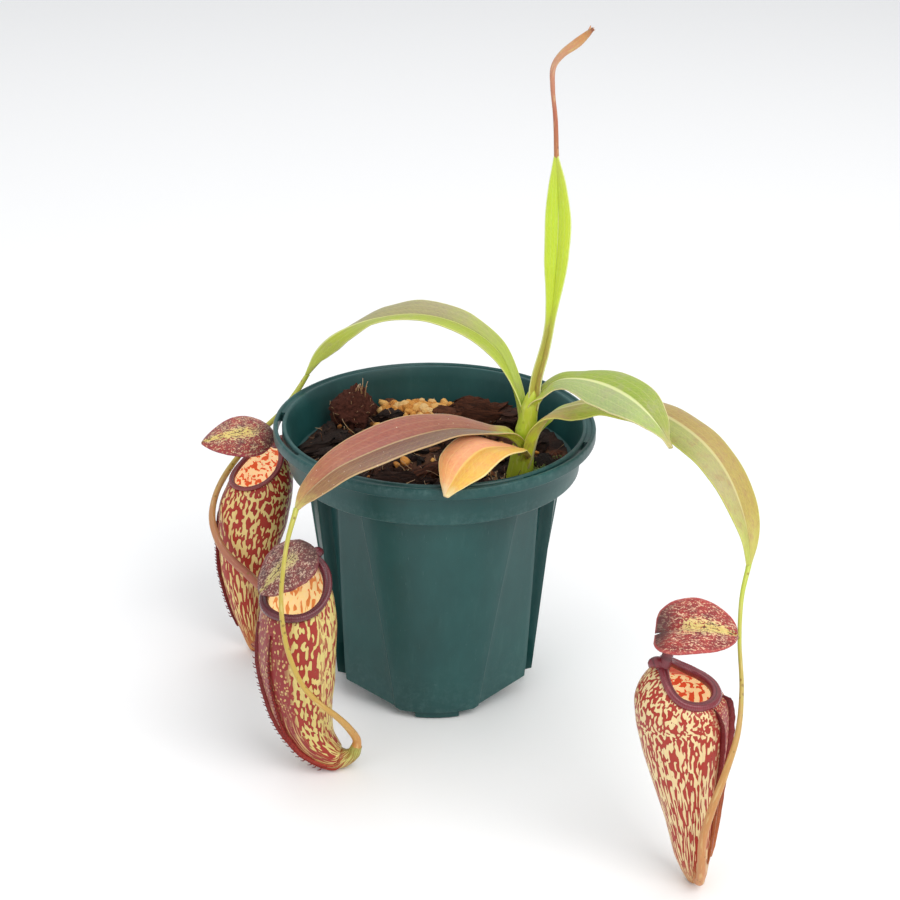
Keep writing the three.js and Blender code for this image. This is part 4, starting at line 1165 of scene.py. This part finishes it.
def make_lid(name, shape, material, stalk):
    """A lid of two halves beside a crease, with a stalk that joins it to the back of the mouth."""
    spot = on_pitcher(shape)
    lid = shape["lid"]
    half, fold = lid["half"], radians(lid["fold"])
    start, tip = Vector(lid["hinge"]), Vector(lid["tip"])
    along, length = (tip - start).normalized(), (tip - start).length
    side = Matrix.Rotation(radians(lid["roll"]), 3, along) @ UP.cross(along).normalized()
    normal = along.cross(side)
    stations, columns = 64, 48
    sides = [2 * j / columns - 1 for j in range(columns + 1)]
    rings = []
    for i in range(stations + 1):
        u = i / stations
        width = max(0.3, half * sin(pi * u ** 0.8) ** lid["round"] * (1 - 0.12 * u))
        upper, lower = [], []
        for f in sides:
            dome = 0.3 * half * (1 - f * f) * sin(pi * lerp(0.12, 0.95, u))
            crease = -0.7 * exp(-((f / 0.09) ** 2)) * smooth(0, 0.2, u) * (1 if fold else 0.5)
            edge = 0.25 * f * f * sin(9 * u + 3 * f)
            spot_at = Vector((u * length * 0.55, f * width * 0.55, half))
            lumps = lid["bump"] * (noise.noise(spot_at) + 0.6 * noise.noise(spot_at * 2.3))
            hump = 2.2 * lid["bump"] * exp(-(((u - 0.16) / 0.1) ** 2) - ((f + 0.62) / 0.28) ** 2)
            shift = -lid["lobe"] * abs(f) ** 1.6 * (1 - u) ** 2
            place = start + along * (u * length + shift) + side * f * width * cos(fold)
            lift = abs(f) * width * sin(fold)
            place += normal * (dome + lift + crease + edge + lumps + hump - 0.25 * half * u * u)
            thick = lerp(0.42, 0.2, f * f)
            upper.append((place, (u * length, f * width, f * 2), (u, f, 0)))
            lower.append((place - normal * thick * 1.6, (u * length, f * width, f * 2), (u, f, 1)))
        rings.append(upper + lower[::-1])
    skin = Skin()
    skin.rings(rings)
    skin.done("lid_%s_blade" % name, [material], "lid_" + name, "lid_skin")
    neck = Skin()
    behind = pi + radians(shape["skew"])
    foot = [spot(1, behind, -0.2 - shape["tuck"], rise) for rise in (-0.6, 0.6, 1.8)]
    inside = start + along * 2.4 + normal * 0.1
    tube(neck, [[*foot[0], 1.7], [*foot[1], 1.6], [*foot[2].lerp(inside, 0.35), 1.25], [*inside, 0.9]],
         sides=18, steps=24)
    # a small blunt spur behind the stalk
    away = (foot[1] - spot(1, behind - pi, 0)).normalized()
    spur = foot[1] + away * 1.6 + UP * 0.2
    rows = [[*foot[1], 1.3], [*spur, 1.5], [*(spur + away * 1.3 - UP * 0.7), 1.25],
            [*(spur + away * 1.9 - UP * 1.9), 0.35]]
    tube(neck, rows, sides=14, steps=18)
    neck.done("lid_%s_neck" % name, [stalk], "lid_" + name, "lid_skin")


# ---------- colours ----------
MIX_STOPS = [(0.0, "140d0a"), (0.4, "2b1a13"), (0.7, "43281b"), (1.0, "5a3a26")]
GRANULE_STOPS = [(0.0, "6b4a2c"), (0.3, "bf7630"), (0.55, "dd9a48"), (0.8, "e8b062"), (1.0, "eec484")]
CHUNK_STOPS = [(0.0, "2c1410"), (0.4, "562c20"), (0.7, "74422e"), (1.0, "925642")]
FIBRES = {
    "straw": ([(0.0, "8a6a44"), (0.6, "b28a62"), (1.0, "cfae8c")], "5a3a22"),
    "root": ([(0.0, "3a2419"), (0.6, "5a3822"), (1.0, "7a5236")], "22140e"),
    "moss": ([(0.0, "2c3a14"), (0.5, "56702a"), (1.0, "8ea24e")], "2a3512"),
}

# slot, stops of the left and the right half, midrib, margin, blush, underside and share of pale specks
LEAF_LOOKS = {
    "leaf_back_left": (
        "leaf_green", [(0.0, "b4c835"), (0.35, "a0b030"), (0.8, "aeb832"), (1.0, "bcc848")],
        [(0.0, "b4cb34"), (0.3, "a8b848"), (0.46, "a89e78"), (0.72, "a29c6e"), (0.85, "a8b04c"),
         (1.0, "b9cf55")], "d9dc8c", "dfe08c", ("a99a78", 0.5, 0.7, 0.35), "8a9850"),
    "leaf_front_left": (
        "leaf_mauve", [(0.0, "c4d834"), (0.26, "b0c03a"), (0.37, "7c6454"), (0.6, "785446"),
                       (0.85, "966c48"), (1.0, "c8b868")],
        [(0.0, "c4d834"), (0.2, "b0b83c"), (0.34, "9c6a58"), (0.6, "964e40"), (0.82, "a4644a"),
         (0.94, "b89458"), (1.0, "d0c878")], "bca078", "c8a678", ("7c4238", 0.5, 0.72, 0.4), "96705a", 0.7),
    "leaf_small": (
        "leaf_orange", [(0.0, "c3c34c"), (0.3, "e2b854"), (0.6, "e6ac4a"), (0.85, "eab852"), (1.0, "efdfb0")],
        [(0.0, "c2c648"), (0.3, "e39468"), (0.55, "e8a07c"), (0.8, "eaa466"), (1.0, "f0e0b4")],
        "eec169", "f5dd92", ("e88d62", 0.46, 0.7, 0.5), "e2a861", 0.25),
    "leaf_right": (
        "leaf_green", [(0.0, "b8c83a"), (0.3, "98aa3c"), (0.6, "93a838"), (0.85, "9ca44e"), (1.0, "c4b478")],
        [(0.0, "c2ce38"), (0.2, "b4c440"), (0.32, "a9b876"), (0.6, "a4b377"), (0.85, "a6b85e"),
         (1.0, "c4b478")], "dfe3a0", "eadfa4", ("a8a284", 0.46, 0.7, 0.5)),
    "leaf_right_long": (
        "leaf_tan", [(0.0, "d8e83a"), (0.3, "b8d03a"), (0.45, "b59a5c"), (0.6, "b39658"), (0.85, "b59f50"),
                     (1.0, "c4c060")],
        [(0.0, "dce83e"), (0.19, "d0d83c"), (0.3, "c8a860"), (0.42, "a9b23e"), (0.6, "a5ad5a"),
         (0.8, "b5a878"), (1.0, "bcc658")], "d3c98a", "cfd068", ("a87c5c", 0.46, 0.68, 0.5), "b3a468", 0.15),
    "leaf_upright": (
        "leaf_green", [(0.0, "b4aa44"), (0.36, "aaa64c"), (0.48, "bccf28"), (0.8, "b8ce2a"), (1.0, "bccc40")],
        [(0.0, "9c7038"), (0.24, "b4a04c"), (0.42, "bcc440"), (0.5, "c0d22c"), (0.8, "bed02e"),
         (1.0, "bcc848")], [(0.0, "8c3c2a"), (0.3, "9c6a40"), (0.42, "f6f8d8"), (1.0, "f6f8d8")],
        "e2ecac", ("c5e04a", 0.5, 0.7, 0.4)),
}
STEM_STOPS = [(0.0, "a4b42c"), (0.5, "b6c634"), (1.0, "c0cc40")]
TENDRIL_LOOKS = {  # stops along it, and the colour of its dots
    "tendril_back_left": (
        [(0.0, "b4c044"), (0.25, "bdb64c"), (0.42, "be8c58"), (0.6, "b06a54"), (1.0, "a85c4a")], "8a6a2c"),
    "tendril_front_left": (
        [(0.0, "b4b848"), (0.35, "beaa48"), (0.65, "c49a46"), (1.0, "c88644")], "7f6424"),
    "tendril_right": (
        [(0.0, "b5c840"), (0.2, "bcc44c"), (0.42, "bf9a58"), (0.6, "c2884a"), (1.0, "c98354")], "8a6a2c"),
    "tendril_upright": (
        [(0.0, "b07a48"), (0.25, "b0644a"), (0.55, "cc987a"), (0.85, "c88c54"), (1.0, "6e3424")], "7a3a28"),
}
# the arguments of the paints of each pitcher, after their names
# the second colour of each lip is partly its own lighter red and partly painted highlight
LOOKS = {
    "left": {
        "skin": ("efdb90", "b02e1e", "781c16", "7c2626", "d08a48", 0.56, (1.4, 0.5), 0.1, 1.4),
        "throat": ("fdf2c0", "e06a40", 0.4, (0.8, 0.5), ("b8503c", 0.03)),
        "lip": ("761e24", "b4504a"), "lid": ("a83a34", "823c3a", "e6c89c", "ecd87e"), "wing": "7a2228"},
    "middle": {
        "skin": ("e8d084", "a83024", "6e1e1c", "8e2e30", "9aa348", 0.5, (1.25, 0.38), 0.0, 2.4, 2.6),
        "throat": ("f4e8ac", "e0a064", 0.34, (0.8, 0.24), ("94383c", 0.05)),
        "lip": ("54121c", "8a3440"),
        "lid": ("84403c", "643634", "caac96", "cfc07c", "431c22", "84343a"), "wing": "c04a3a"},
    "right": {
        "skin": ("eedca6", "b03426", "842422", "9a302e", "d2a26c", 0.5, (1.85, 0.5), 0.1, -0.3),
        "throat": ("f6f8bc", "da5638", 0.45, (0.8, 0.55), ("b83e44", 0.1)),
        "lip": ("701a26", "aa4450"),
        "lid": ("b03630", "8c2e2e", "ecc2a0", "f0de8c", "4c1a1c", "c84e4c"), "wing": "c8763e"},
}


# ---------- everything ----------
def stem_swell(u):
    """Swellings where the leaves leave the stem, and a tapered top."""
    knots = sum(exp(-((u - k) / 0.03) ** 2) for k in (0.6, 0.82))
    return (1 + 0.05 * knots) * sqrt(max(0.0, 1 - max(0, (u - 0.9) / 0.1) ** 2) + 0.02)


def make_tendril(label, rows, material):
    """A tendril that starts inside its leaf's tip. The upright one ends in a bud with a forked tip."""
    first, second = Vector(rows[0][:3]), Vector(rows[1][:3])
    lead = first - (second - first).normalized() * 1.2
    foot = [FEET[label]] if label in FEET else []
    skin = Skin()
    tube(skin, [[*lead, rows[0][3]]] + rows + foot, sides=16, steps=9 * len(rows))
    if not foot:
        end = Vector(rows[-1][:3]) - Vector((1, 0, 0.8))
        for aim in ((1, -0.1, 0.9), (0.8, 0.2, 0.2), (0.2, 0, 1)):
            way = Vector(aim).normalized()
            prong = [[*end, 0.45], [*(end + way * 0.8), 0.32], [*(end + way * 1.6), 0.06]]
            tube(skin, prong, sides=8, steps=5)
    skin.done(label + "_vine", [material], label, "tendril" if foot else "bud")


make_pot(pot_plastic())
make_mix(crumb_paint("mix_bed", MIX_STOPS, 0.55))
make_bark(bark_paint())
fibres = [tendril_paint(name, *look) for name, look in FIBRES.items()]
make_fibres(fibres)
make_granules(crumb_paint("granules", GRANULE_STOPS, 0.7, 0.8))
make_chunk(crumb_paint("fern_root", CHUNK_STOPS, 1.1), fibres[0])
for label, (heading, rows) in LEAVES.items():
    slot, *look = LEAF_LOOKS[label]
    make_blade(label, heading, rows, leaf_paint(label, *look), slot)
stem = Skin()
tube(stem, STEM, sides=32, steps=90, swell=stem_swell)
stem.done("stem_core", [tendril_paint("stem", STEM_STOPS, "a4ae38")], "stem", "green_tissue")
for label, rows in TENDRILS.items():
    make_tendril(label, rows, tendril_paint(label, *TENDRIL_LOOKS[label]))
for label, shape in PITCHERS.items():
    look = LOOKS[label]
    body = pitcher_paint("skin_" + label, *look["skin"])
    throat = throat_paint("throat_" + label, *look["throat"])
    lip, lid = lip_paint("lip_" + label, *look["lip"]), lid_paint("lid_" + label, *look["lid"])
    wing_stops = [(0.0, look["wing"]), (0.5, "8a2a28"), (1.0, "701c22")]
    make_pitcher(label, shape, body, throat, lip, crumb_paint("wing_" + label, wing_stops, 0.7, 0.45))
    make_lid(label, shape, lid, lip)


# ---------- floor and light ----------
def make_stage():
    bpy.context.scene.view_settings.view_transform = "Standard"
    bpy.ops.mesh.primitive_plane_add(size=8, location=(0, 0, -0.0002))
    floor = bpy.context.object
    floor.name = "floor"
    p = Paint("floor", Roughness=0.7, Specular_IOR_Level=0.2)
    p.shader.inputs["Base Color"].default_value = (0.98, 0.98, 0.985, 1)
    floor.data.materials.append(p.material)
    world = bpy.data.worlds.new("world")
    world.use_nodes = True
    world.node_tree.nodes["Background"].inputs[0].default_value = (0.97, 0.985, 1.0, 1)
    world.node_tree.nodes["Background"].inputs[1].default_value = 0.66
    bpy.context.scene.world = world
    middle = Vector((0, -0.03, 0.06))  # of the plant, where the lights point
    for name, place, size, power, tone in (
            ("key", (0.55, -0.7, 0.95), 0.9, 8.5, (1, 0.99, 0.97)),
            ("fill", (-0.7, -0.7, 0.8), 0.8, 1.6, (0.97, 0.98, 1)),
            ("top", (0.0, 0.35, 1.3), 1.0, 4, (1, 1, 1))):
        light = bpy.data.lights.new(name, "AREA")
        light.size, light.energy, light.color = size, power, tone
        lamp = bpy.data.objects.new(name, light)
        lamp.location = place
        lamp.rotation_euler = (middle - Vector(place)).to_track_quat("-Z", "Y").to_euler()
        bpy.context.scene.collection.objects.link(lamp)


make_stage()
